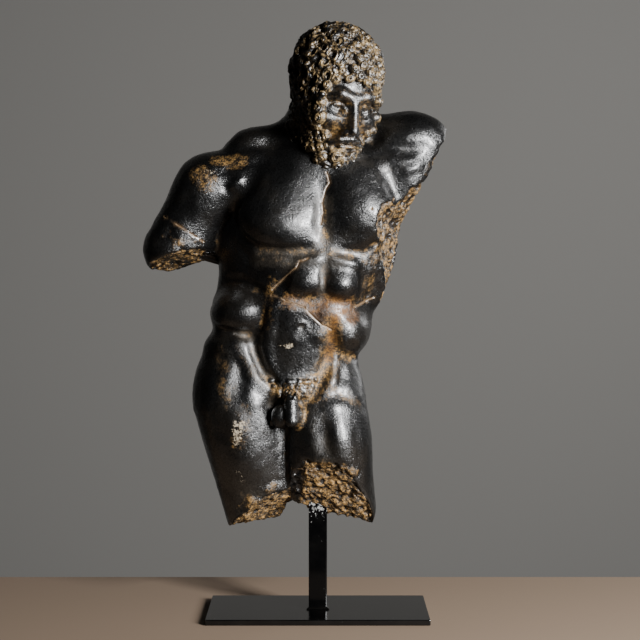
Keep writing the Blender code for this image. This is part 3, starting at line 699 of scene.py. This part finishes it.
# The strokes of the face are a width, a rise and a way in (x, z), as on the body.
EYE_SOCKETS = [
    (0.013, -0.0085, mirrored(side, [(0.012, -0.013), (0.026, -0.013)])) for side in (-1, 1)
]
EYELIDS = [
    (width, rise, mirrored(side, [(x, z + lift) for x, z in way]))
    for side in (-1, 1)
    for width, rise, lift, way in (
        (0.0026, 0.0017, 0.0, [(0.0095, -0.015), (0.0135, -0.011), (0.0185, -0.0095),
                               (0.0235, -0.0108), (0.028, -0.0145)]),
        (0.0022, 0.0011, 0.0, [(0.0095, -0.015), (0.0135, -0.0177), (0.0185, -0.0187),
                               (0.0235, -0.0177), (0.028, -0.0145)]),
        (0.0026, -0.0014, 0.004, [(0.010, -0.0145), (0.014, -0.0108), (0.019, -0.0095),
                                  (0.024, -0.0108), (0.0285, -0.014)]),
        (0.003, -0.0008, -0.0045, [(0.012, -0.0165), (0.0185, -0.0187), (0.025, -0.017)]),
    )
]
FACE_LINES = [
    (0.0026, -0.0022, [(-0.0125, -0.058), (-0.005, -0.0572), (0, -0.0578),
                       (0.005, -0.0572), (0.0125, -0.058)]),
    (0.003, -0.0012, [(0, -0.0455), (0, -0.052)]),
    (0.008, -0.0014, [(-0.006, -0.067), (0.006, -0.067)]),
]
FACE_LINES += [
    (width, rise, mirrored(side, way))
    for side in (-1, 1)
    for width, rise, way in (
        (0.0026, -0.003, [(0.003, -0.0445), (0.0055, -0.0445)]),
        (0.004, -0.0014, [(0.0115, -0.037), (0.015, -0.044), (0.019, -0.050)]),
        (0.0022, -0.001, [(0.0035, -0.0375), (0.0075, -0.0365), (0.011, -0.040)]),
    )
]
EYEBALL_AT = (0.0185, -0.0415, -0.0135)
EYEBALL_RADIUS = 0.0096

# Where curls grow, each with the salt of its own random draws.
CROWN, FOREHEAD, BEARD = 0, 10, 20


def hooked(curl, number):
    """A small curl as it is, or a larger one as the tapering limbs of a lock hooked round an open eye."""
    if curl["small"]:
        return [curl]
    wide, long, high = curl["radii"]
    sweep = curl["hand"] * math.radians(215 + 70 * chance(number, 7))
    knots = []
    for step in range(5):
        turn = curl["phase"] + sweep * step / 4
        spread = 0.60 + 0.16 * step / 4
        across, along = wide * spread * math.cos(turn), long * spread * math.sin(turn)
        local = np.array((across, along, 0.10 * high * (2 - step)))
        knots.append(curl["centre"] + curl["spin"] @ local)
    thick = [0.30 * (wide + long) * share for share in (0.74, 0.86, 0.84, 0.70, 0.44)]
    return [
        limb(start, end, first, last, 0.001)
        for start, end, first, last in zip(knots, knots[1:], thick, thick[1:])
    ]


def curls(field, heart, count, size, lift, grows, salt):
    """Curls on the skin, spread evenly as seen from the heart, where hair grows.

    The salt picks the random draws. The crown's curls are long, keep nearly upright and are hooked
    later.
    """
    found = []
    steps = np.arange(count)
    height = 1 - 2 * (steps + 0.5) / count
    ring = np.sqrt(1 - height ** 2)
    turn = steps * GOLDEN_ANGLE + 0.14 * np.array([chance(step, salt) - 0.5 for step in steps])
    ways = np.array((ring * np.cos(turn), ring * np.sin(turn), height)).T
    points = np.array(heart) + 0.14 * ways
    for _ in range(40):
        points -= ways * np.minimum(field(points), 4 * LONGEST_MOVE)[:, None]
    slopes = slope_of(field, points, field(points))
    slopes /= np.linalg.norm(slopes, axis=1, keepdims=True)
    for step in steps:
        spot = points[step]
        if not grows(*spot):
            continue
        away = np.linalg.norm(spot - heart)
        radius = size * away * (0.80 + 0.40 * chance(step, salt + 1))
        wide, long = 0.92 + 0.20 * chance(step, salt + 2), 0.78 + 0.16 * chance(step, salt + 6)
        sway = math.tau * chance(step, salt + 3)
        if salt == CROWN:
            wide, long, sway = 0.86 * wide, 1.55 * long, 1.4 * (chance(step, salt + 3) - 0.5)
        up = Vector(slopes[step]).to_track_quat("Z", "Y").to_matrix()
        radii = (radius * wide, radius * long, radius * 0.85)
        curl = egg(spot + slopes[step] * lift, radii, blend=0.0008)
        curl["spin"] = np.array(up @ Matrix.Rotation(sway, 3, "Z"))
        curl["hand"] = 1 if chance(step, salt + 4) < 0.6 else -1
        curl["phase"] = math.tau * chance(step, salt + 5)
        curl["small"] = salt != CROWN
        found.append(curl)
    return found


def is_face(x, y, z):
    """The clear window of the face, with the mouth under it."""
    window = (x / 0.037) ** 2 + ((z + 0.018) / 0.041) ** 2 < 1
    mouth = abs(x) < 0.0135 and -0.068 < z < 0
    return y < 0 and (window or mouth)


def is_fine_hair(x, y, z):
    """The short curls over the forehead and the left temple."""
    return not is_face(x, y, z) and z > -0.012 and y < -0.012 - 0.8 * max(0, -x)


def is_hair(x, y, z):
    """Over the crown and the ears, and down to the nape behind."""
    if is_face(x, y, z) or is_fine_hair(x, y, z):
        return False
    return z > max(-0.064, -0.014 - 1.6 * max(0, y))


def is_beard(x, y, z):
    """From the ears down along the jaw and over the chin."""
    return not is_face(x, y, z) and -0.100 < z < min(-0.010, -0.012 - 1.6 * y) and y < 0.026


def all_curls():
    bald = lambda points: joined(skull() + face(), points)
    hair = curls(bald, (0, 0.010, 0.010), 190, 0.162, 0.0036, is_hair, CROWN)
    hair += curls(bald, (0, 0.010, 0.010), 360, 0.122, 0.0042, is_fine_hair, FOREHEAD)
    return hair + curls(bald, (0, -0.012, -0.045), 300, 0.158, 0.002, is_beard, BEARD)


def head_field(locks):
    """The head's field: skull and face, the eyes in their sockets, the lids and lines, the hair."""
    bare = carved(lambda points: joined(skull() + face(), points), EYE_SOCKETS)
    eyes = [egg((side * EYEBALL_AT[0], *EYEBALL_AT[1:]), (EYEBALL_RADIUS,) * 3) for side in (-1, 1)]
    seeing = lambda points: blended(bare(points), joined(eyes, points, SMALL_MARGIN), 0.0015)
    calm = carved(carved(seeing, EYELIDS), FACE_LINES)

    def after(points):
        total = blended(calm(points), joined(moustache(), points, SMALL_MARGIN), 0.002)
        return blended(total, joined(locks, points, CURL_MARGIN), 0.0015)

    return after


def combed(points, locks):
    """At each point, how deep the nearest curl is cut by its spiral groove and its drilled eye."""
    best = np.full(len(points), 1.25)
    depth = np.zeros(len(points))
    order = np.argsort(points[:, 2])
    heights = points[order, 2]
    for curl in locks:
        radius = curl["reach"] * 1.3
        centre = curl["centre"]
        low, high = np.searchsorted(heights, (centre[2] - radius, centre[2] + radius))
        spots = order[low:high]
        local = (points[spots] - centre) @ curl["spin"]
        spread = np.hypot(local[:, 0] / curl["radii"][0], local[:, 1] / curl["radii"][1])
        nearer = (spread < best[spots]) & (local[:, 2] > -0.6 * curl["radii"][2])
        spots, local, spread = spots[nearer], local[nearer], spread[nearer]
        best[spots] = spread
        angle = np.arctan2(local[:, 1], local[:, 0])
        wave = 0.5 - 0.5 * np.cos(math.tau * 2.6 * spread - 0.5 * curl["hand"] * angle + curl["phase"])
        hole = 1 - eased(spread, 0.10, 0.30)
        spiral = wave ** 2 * eased(1.15 - spread, 0, 0.35)
        depth[spots] = radius * np.maximum(0.10 * spiral, 0.34 * hole)
    return depth


# ---------------------------------------------------------------- the pieces

# Each crack is its way in (x, z), as seen from the front.
CRACKS = {
    "breastbone": [(0.012, 0.611), (0.016, 0.598), (0.010, 0.587), (0.006, 0.571),
                   (0.007, 0.558), (0.004, 0.542)],
    "right ribs": [(-0.061, 0.454), (-0.046, 0.468), (-0.029, 0.483), (-0.024, 0.492), (-0.013, 0.496)],
    "belly": [(-0.063, 0.446), (-0.043, 0.440), (-0.018, 0.430), (-0.008, 0.419),
              (0.003, 0.408), (0.019, 0.400)],
    "left ribs": [(0.049, 0.430), (0.062, 0.435), (0.078, 0.442)],
    "right arm": [(-0.210, 0.553), (-0.190, 0.541), (-0.172, 0.529), (-0.156, 0.518)],
    "left thigh": [(-0.035, 0.209), (-0.016, 0.208), (0.000, 0.206)],
    "left breast": [(0.103, 0.576), (0.088, 0.566), (0.072, 0.562)],
}
CRACK_WIDTH = 0.0016
CRACK_DEPTH = 0.0013

# Each stain is its width, its strength and its way, and so is each worn patch.
STAINS = {
    "ochre": [
        (0.020, 0.9, [(-0.160, 0.612), (-0.150, 0.598)]),
        (0.018, 0.8, [(-0.135, 0.630), (-0.105, 0.628)]),
        (0.022, 0.4, [(-0.080, 0.500), (-0.010, 0.498), (0.060, 0.498), (0.085, 0.504)]),
        (0.016, 0.6, [(0.012, 0.502), (0.036, 0.500), (0.062, 0.500), (0.084, 0.512)]),
        (0.012, 0.6, [(0.006, 0.560), (0.005, 0.535), (0.009, 0.505)]),
        (0.014, 0.5, [(-0.102, 0.376), (-0.090, 0.348), (-0.070, 0.322)]),
        (0.022, 0.6, [(-0.040, 0.439), (0.000, 0.434), (0.045, 0.436)]),
        (0.026, 0.85, [(0.020, 0.410), (0.018, 0.365), (0.007, 0.336), (-0.012, 0.317)]),
        (0.012, 0.7, [(0.026, 0.370), (0.040, 0.357), (0.058, 0.357)]),
        (0.018, 0.7, [(-0.062, 0.316), (-0.010, 0.314)]),
        (0.012, 0.7, [(-0.018, 0.296), (-0.024, 0.270)]),
        (0.016, 0.6, [(0.000, 0.309), (0.024, 0.314), (0.046, 0.304), (0.056, 0.292)]),
        (0.018, 0.5, [(-0.134, 0.375), (-0.128, 0.340), (-0.124, 0.300)]),
        (0.022, 0.55, [(-0.100, 0.290), (-0.106, 0.246)]),
        (0.014, 0.6, [(-0.060, 0.466), (-0.066, 0.440), (-0.070, 0.405)]),
        (0.016, 0.6, [(0.082, 0.508), (0.072, 0.470), (0.064, 0.440)]),
        (0.024, 0.5, [(-0.190, 0.512), (-0.170, 0.520)]),
        (0.018, 0.4, [(-0.105, 0.170), (-0.070, 0.165)]),
        (0.020, 0.4, [(-0.020, 0.220), (0.010, 0.222)]),
    ],
    "dust": [
        (0.024, 0.8, [(0.008, 0.570), (0.006, 0.515)]),
        (0.024, 0.8, [(-0.080, 0.497), (0.000, 0.497), (0.030, 0.497)]),
        (0.016, 0.7, [(0.010, 0.495), (0.008, 0.447)]),
        (0.018, 0.7, [(-0.100, 0.385), (-0.085, 0.345), (-0.055, 0.318)]),
        (0.026, 0.7, [(0.022, 0.410), (0.010, 0.336), (-0.012, 0.312)]),
        (0.026, 0.6, [(-0.065, 0.314), (-0.005, 0.314)]),
        (0.026, 0.6, [(0.000, 0.290), (0.010, 0.225)]),
        (0.040, 0.5, [(0.030, 0.630), (0.100, 0.615)]),
        (0.020, 0.5, [(0.078, 0.500), (0.066, 0.450)]),
        (0.020, 0.3, [(-0.024, 0.410), (-0.010, 0.395)]),
        (0.024, 0.6, [(-0.128, 0.360), (-0.122, 0.300)]),
        (0.030, 0.6, [(-0.108, 0.180), (-0.085, 0.170)]),
        (0.030, 0.5, [(-0.100, 0.290), (-0.104, 0.240)]),
    ],
    "rust": [
        (0.024, 0.8, [(0.010, 0.434), (0.036, 0.430), (0.044, 0.418)]),
        (0.013, 0.8, [(0.024, 0.425), (0.020, 0.390), (0.014, 0.360)]),
        (0.010, 0.5, [(0.014, 0.480), (0.014, 0.450)]),
        (0.020, 0.7, [(-0.036, 0.438), (-0.010, 0.431), (0.006, 0.420)]),
    ],
    "pale": [
        (0.010, 1.0, [(-0.103, 0.272), (-0.107, 0.256)]),
        (0.008, 1.0, [(-0.112, 0.274), (-0.110, 0.246)]),
        (0.0065, 1.1, [(-0.040, 0.378), (-0.036, 0.379)]),
        (0.004, 0.9, [(-0.052, 0.379), (-0.050, 0.379)]),
        (0.012, 0.75, [(-0.110, 0.205), (-0.102, 0.190)]),
        (0.008, 0.85, [(-0.152, 0.617), (-0.146, 0.612)]),
    ],
}
WORN = [
    (0.012, 0.9, [(-0.156, 0.622), (-0.138, 0.619), (-0.120, 0.612)]),
    (0.010, 0.8, [(-0.168, 0.604), (-0.160, 0.594)]),
    (0.022, 0.9, [(-0.202, 0.522), (-0.185, 0.522), (-0.166, 0.512)]),
    (0.018, 0.8, [(0.084, 0.520), (0.082, 0.490), (0.076, 0.462), (0.070, 0.446)]),
    (0.014, 0.8, [(0.088, 0.562), (0.088, 0.535), (0.084, 0.515)]),
    (0.014, 0.8, [(0.146, 0.606), (0.160, 0.634), (0.174, 0.660)]),
    (0.014, 0.8, [(-0.114, 0.146), (-0.080, 0.168), (-0.055, 0.186)]),
    (0.012, 0.7, [(-0.006, 0.214), (0.024, 0.220), (0.052, 0.204)]),
]


def stained(field, stains, points):
    """How strongly each point takes a stain."""
    total = np.zeros(len(points))
    for width, strength, way in stains:
        laid = on_skin(field, way)
        nearest, _, _ = along_way(laid, points)
        total = np.maximum(total, strength * (1 - eased(nearest, 0.25 * width, 1.3 * width)))
    return total


# The voxel size of each skin, from coarse to fine, and its rounds of settling.
BODY_STAGES = ((0.007, 12), (0.0026, 6))
HEAD_STAGES = ((0.0022, 6), (0.00095, 4))
MOST_TRIANGLES = 195000


def make_body():
    """The body with its neck, which ends inside the head."""
    whole = whole_body()
    field = broken(whole)
    body = skinned("figure_body", body_masses(), field, BODY_STAGES)
    cracks = [on_skin(field, way) for way in CRACKS.values()]

    def from_crack(points):
        return np.min([along_way(way, points)[0] for way in cracks], axis=0)

    def torn(points):
        return np.max(cuts(points), axis=0)

    refine(body, lambda points: (from_crack(points) < 0.007) | (torn(points) > -0.002))
    refine(body, lambda points: from_crack(points) < 0.0035)
    settle(body, field, 3)

    points = points_of(body)
    strayed = points + 0.0006 * np.array([lumps(points, 0.004, seed) for seed in (5, 6, 7)]).T
    off = from_crack(strayed)
    worn = stained(field, WORN, points) * eased(lumps(points, 0.012, 15), -0.6, 0.5)
    bare = np.maximum(eased(-whole(points), 0.0004, 0.003), 0.75 * worn)
    crumbs = (0.0021 * lumps(points, 0.013, 10) + 0.0018 * lumps(points, 0.0065, 11)
              + 0.0013 * lumps(points, 0.0034, 12) - 0.0016)
    hammered = 0.00035 * lumps(points, 0.011, 13) + 0.00025 * lumps(points, 0.0055, 14)
    rise = bare * crumbs + (1 - bare) * hammered - CRACK_DEPTH * (1 - eased(off, 0, CRACK_WIDTH))
    place_points(body, points + normals_of(body) * rise[:, None])

    x, z = points[:, 0], points[:, 2]
    # Painted shade: the left thigh's break loses most of its ochre beside the gap between the legs. Above
    # the legs the breaks simply take less ochre.
    above_legs = eased(z, 0.40, 0.44)
    between_legs = eased(x, THIGHS_PART, THIGHS_PART + 0.002) * (1 - eased(x, -0.026, -0.018))
    # Painted shade: the breaks' ochre is halved in the hollows of their crumbs, so these hollows show near
    # black.
    crumb_hollow_shade = 0.50 + 0.50 * eased(crumbs, -0.0036, -0.0002)
    leg_gap_shade_and_upper_dimming = (1 - 0.30 * above_legs) * (1 - 0.7 * between_legs * (1 - above_legs))
    paint(body, "bare", bare * crumb_hollow_shade * leg_gap_shade_and_upper_dimming)
    paint(body, "crack", 1 - eased(off, 0.3 * CRACK_WIDTH, 1.6 * CRACK_WIDTH))
    hollow = eased(hollowness(body, 14), 0.0001, 0.0012)
    paint(body, "hollow", hollow)
    # Painted shade: the hollows of the breaks are marked deep, and the material darkens them near black.
    paint(body, "deep", hollow * bare)
    paint(body, "hair", np.zeros(len(points)))
    for name, stains in STAINS.items():
        paint(body, name, stained(field, stains, points))
    return thinned(body, MOST_TRIANGLES)


FACE_OCHRE = [
    (width, strength, mirrored(side, way))
    for side in (-1, 1)
    for width, strength, way in (
        (0.014, 0.8, [(0.012, -0.024), (0.014, -0.038), (0.024, -0.050)]),
        (0.008, 0.7, [(0.008, -0.006), (0.026, -0.008)]),
        (0.010, 0.7, [(0.000, -0.062), (0.018, -0.066)]),
        (0.010, 0.5, [(0.034, -0.010), (0.034, -0.045)]),
    )
]


def make_head():
    locks = all_curls()
    strands = [strand for number, lock in enumerate(locks) for strand in hooked(lock, number)]
    masses = skull() + face() + moustache() + locks
    field = head_field(strands)
    head = skinned("figure_head", masses, field, HEAD_STAGES)
    points = points_of(head)
    tangle = 1 - eased(joined(locks, points, CURL_MARGIN), 0.0002, 0.0012)
    depth = tangle * combed(points, locks)
    place_points(head, points - normals_of(head) * depth[:, None])
    for name in ("bare", "crack", "rust", "pale"):
        paint(head, name, np.zeros(len(points)))
    paint(head, "hollow", eased(hollowness(head, 16), 0.0001, 0.0014))
    # Painted shade: the gaps between curls and the bottoms of their grooves and drilled eyes are marked
    # deep, and the material darkens them near black.
    curl_gap_shade = eased(hollowness(head, 40), 0.0006, 0.0028)
    paint(head, "deep", np.maximum(curl_gap_shade, eased(depth, 0.0018, 0.0036)))
    paint(head, "hair", tangle)
    paint(head, "ochre", np.maximum(0.48 - 0.15 * tangle, stained(field, FACE_OCHRE, points)))
    paint(head, "dust", np.full(len(points), 0.4))
    thinned(head, MOST_TRIANGLES)
    head.data.transform(HEAD_PLACE)
    return head


# ---------------------------------------------------------------- finishes

class Signal:
    """A shader socket in plain arithmetic. node() adds any other node to the same material."""

    def __init__(self, tree, socket=None):
        self.tree = tree
        self.socket = socket

    def node(self, kind, settings=None, values=None, output=0):
        made = self.tree.nodes.new(kind)
        for name, value in (settings or {}).items():
            setattr(made, name, value)
        for name, value in (values or {}).items():
            plug(made.inputs[name], value)
        return Signal(self.tree, made.outputs[output])

    def sum(self, operation, *terms):
        return self.node("ShaderNodeMath", {"operation": operation}, dict(enumerate(terms)))

    def __add__(self, other):
        return self.sum("ADD", self, other)

    __radd__ = __add__

    def __sub__(self, other):
        return self.sum("SUBTRACT", self, other)

    def __rsub__(self, other):
        return self.sum("SUBTRACT", other, self)

    def __mul__(self, other):
        return self.sum("MULTIPLY", self, other)

    __rmul__ = __mul__

    def stepped(self, low, high):
        """0 below low, 1 above high, and a smooth rise between."""
        settings = {"interpolation_type": "SMOOTHSTEP"}
        values = {"Value": self, "From Min": low, "From Max": high}
        return self.node("ShaderNodeMapRange", settings, values)

    def mixing(self, one, other):
        """One colour turned into another where this signal is 1."""
        return self.node("ShaderNodeMix", {"data_type": "RGBA"}, {0: self, 6: one, 7: other}, 2)


def plug(socket, value):
    """Links a signal to a socket, or sets the socket to a plain value."""
    if isinstance(value, Signal):
        value.tree.links.new(value.socket, socket)
    else:
        socket.default_value = value


def new_material(name):
    material = bpy.data.materials.new(name)
    material.use_nodes = True
    tree = material.node_tree
    return material, Signal(tree), tree.nodes["Principled BSDF"]


def noise(place, scale, detail, roughness=0.6):
    values = {"Vector": place, "Scale": scale, "Detail": detail, "Roughness": roughness}
    return place.node("ShaderNodeTexNoise", {}, values, "Fac")


def attribute(start, name):
    return start.node("ShaderNodeAttribute", {"attribute_name": name}, {}, "Fac")


def bumped(height, strength, distance):
    values = {"Height": height, "Strength": strength, "Distance": distance}
    return height.node("ShaderNodeBump", {}, values, "Normal")


def patina():
    """Near-black casting, with ochre and dust in its hollows and bare ochre on its breaks. Painted shade
    darkens the deepest hollows of the breaks, the grooves of the curls and the gaps between curls near
    black.
    """
    material, start, shader = new_material("patina")
    place = start.node("ShaderNodeTexCoord", {}, {}, "Object")
    broad = noise(place, 14.0, 3.0)
    patchy = noise(place, 60.0, 4.0, 0.65)
    coarse = noise(place, 170.0, 3.0)
    grain = noise(place, 420.0, 3.0)
    fine = noise(place, 1100.0, 2.0)
    bare, hollow, hair, dust, ochre, rust, pale, crack, deep = (
        attribute(start, name)
        for name in ("bare", "hollow", "hair", "dust", "ochre", "rust", "pale", "crack", "deep")
    )

    black = broad.stepped(0.45, 0.7).mixing((0.0016, 0.0016, 0.0016, 1), (0.0055, 0.0046, 0.0036, 1))
    dusty = grain.mixing((0.022, 0.018, 0.013, 1), (0.082, 0.066, 0.047, 1))
    earth = (grain * 0.45 + coarse * 0.40 + patchy * 0.15).stepped(0.44, 0.60)
    earth = earth.mixing((0.018, 0.011, 0.004, 1), (0.310, 0.172, 0.048, 1))
    tan = (grain * 0.45 + coarse * 0.55).stepped(0.42, 0.60)
    tan = tan.mixing((0.016, 0.011, 0.006, 1), (0.290, 0.198, 0.092, 1))
    rusty = grain.mixing((0.060, 0.023, 0.005, 1), (0.330, 0.132, 0.022, 1))
    chalky = grain.mixing((0.140, 0.105, 0.065, 1), (0.420, 0.350, 0.250, 1))

    rough = patchy * 0.5 + coarse * 0.3 + grain * 0.2
    film = (dust * 0.8 + hollow * 0.50 + rough * 1.3).stepped(0.95, 1.75) * 0.7
    soil = (ochre * 0.9 + hollow * 0.45 + rough * 1.7).stepped(1.25, 1.95) * 0.85
    curly = (hair * 0.8 + broad * 0.9 + coarse * 0.6).stepped(1.30, 1.70) * 0.85
    stain = (rust * 0.8 + rough * 1.5).stepped(1.10, 1.75) * 0.75
    crumble = (bare + rough * 0.9).stepped(0.75, 1.25)
    chips = (pale * 0.8 + patchy * 0.6 + grain * 1.5).stepped(1.76, 1.92)
    # Painted shade: where the deep attribute marks hollows, the colour is turned near black, (0.006,
    # 0.004, 0.003) below.
    painted_pit_shade = deep.stepped(0.12, 0.65) * 0.95

    colour = black
    for share, over in (
        (film, dusty), (soil, earth), (curly, tan), (stain, rusty), (crumble, earth), (chips, chalky),
        (crack * 0.8, (0.150, 0.095, 0.050, 1)), (painted_pit_shade, (0.006, 0.004, 0.003, 1)),
    ):
        colour = share.mixing(colour, over)
    dull = film
    for share in (soil, crumble, chips, stain):
        dull = start.sum("MAXIMUM", dull, share)
    polished = (grain * 0.6 + fine * 0.4).stepped(0.44, 0.58)
    height = coarse * 0.35 + grain * 1.0 + fine * 0.35 + crumble * (coarse * 1.2 + grain * 0.8)

    shader.inputs["Specular IOR Level"].default_value = 0.75
    shader.inputs["Coat Roughness"].default_value = 0.21
    plug(shader.inputs["Base Color"], colour)
    matt = dull * 0.35 + stain * 0.30 + hair * 0.04
    plug(shader.inputs["Roughness"], 0.305 + (grain - 0.5) * 0.34 + matt)
    plug(shader.inputs["Metallic"], stain * 0.9 + soil * 0.3)
    plug(shader.inputs["Coat Weight"], polished * (0.75 - dull * 0.75) * (1 - hair * 0.65))
    plug(shader.inputs["Normal"], bumped(height, 0.8, 0.0009))
    return material


def black_steel(name, roughness, specular=0.5, chipped_from=OUT_OF_REACH):
    """Painted steel, near black and faintly wavy. Its paint is chipped above a height, if one is given."""
    material, start, shader = new_material(name)
    place = start.node("ShaderNodeTexCoord", {}, {}, "Object")
    broad = noise(place, 24.0, 3.0)
    flakes = noise(place, 260.0, 4.0, 0.65)
    grain = noise(place, 900.0, 2.0)
    height = start.node("ShaderNodeSeparateXYZ", {}, {"Vector": place}, "Z")
    above = height.stepped(chipped_from, chipped_from + 0.028)
    chips = (flakes * 1.4 + above * 0.25).stepped(0.98, 1.06)
    black = broad.stepped(0.4, 0.8).mixing((0.0010, 0.0010, 0.0011, 1), (0.0032, 0.0030, 0.0028, 1))
    shader.inputs["Specular IOR Level"].default_value = specular
    plug(shader.inputs["Base Color"], chips.mixing(black, (0.240, 0.235, 0.225, 1)))
    plug(shader.inputs["Roughness"], roughness + (broad - 0.5) * 0.1 + chips * 0.4)
    plug(shader.inputs["Normal"], bumped(grain, 0.05, 0.0003))
    return material


def dress(obj, material):
    obj.data.materials.clear()
    obj.data.materials.append(material)


def soft_light(name, place, target, size, power):
    lamp = bpy.data.lights.new(name, "AREA")
    lamp.shape = "RECTANGLE"
    lamp.size, lamp.size_y = size
    lamp.energy = power
    obj = bpy.data.objects.new(name, lamp)
    obj.location = place
    obj.rotation_euler = (Vector(target) - Vector(place)).to_track_quat("-Z", "Y").to_euler()
    bpy.context.scene.collection.objects.link(obj)


def make_stage():
    """A pale table top with a grey wall far behind it."""
    for name, size, place, turn, colour in (
        ("floor", (1.6, 0.27), (0, -0.03, 0), 0, (0.174, 0.123, 0.083, 1)),
        ("backdrop", (12.0, 6.0), (0, 3.6, 0.5), 90, (0.290, 0.281, 0.265, 1)),
    ):
        sheet = bmesh.new()
        bmesh.ops.create_grid(sheet, x_segments=1, y_segments=1, size=1)
        stretch = Matrix.Diagonal((*size, 1, 1))
        lift = Matrix.Translation(place) @ Matrix.Rotation(math.radians(turn), 4, "X")
        sheet.transform(lift @ stretch)
        obj = new_piece(name, sheet)
        material, _, shader = new_material(name)
        shader.inputs["Base Color"].default_value = colour
        shader.inputs["Roughness"].default_value = 0.8
        dress(obj, material)


def make_camera():
    lens = bpy.data.cameras.new("camera")
    lens.sensor_width = SENSOR_WIDTH
    lens.lens = FOCAL_LENGTH
    lens.clip_start = 0.05
    camera = bpy.data.objects.new("camera", lens)
    camera.location = CAMERA_AT
    camera.rotation_euler = (math.radians(90 - CAMERA_DIP), 0, 0)
    bpy.context.scene.collection.objects.link(camera)
    bpy.context.scene.camera = camera


def make_light():
    """A key to the right of the camera, a grey wall and a little of everything else."""
    world = bpy.data.worlds.new("studio")
    world.use_nodes = True
    tree = world.node_tree
    seen = Signal(tree).node("ShaderNodeLightPath", {}, {}, "Is Camera Ray")
    dim, grey = (0.002, 0.002, 0.002, 1), (0.085, 0.084, 0.080, 1)
    plug(tree.nodes["Background"].inputs["Color"], seen.mixing(dim, grey))
    bpy.context.scene.world = world
    soft_light("key", (1.30, -1.53, 0.82), (0, 0, 0.45), (0.55, 0.70), 165)
    soft_light("fill", (-1.9, -1.0, 0.8), (0, 0, 0.45), (0.6, 1.2), 0.2)
    soft_light("wall", (2.0, 1.2, 1.6), (1.5, 3.6, 0.8), (1.5, 1.5), 15)
    soft_light("back", (1.7, 1.7, 1.1), (0, 0, 0.5), (1.0, 1.0), 10)


skin = patina()
for piece in (make_body(), make_head()):
    piece.data.shade_smooth()
    dress(piece, skin)
    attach(piece, "root")
    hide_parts("statue")
dress(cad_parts["post"], black_steel("post_steel", 0.12, 0.2, chipped_from=0.122))
dress(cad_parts["base_plate"], black_steel("base_plate_steel", 0.16))
make_stage()
make_light()
make_camera()
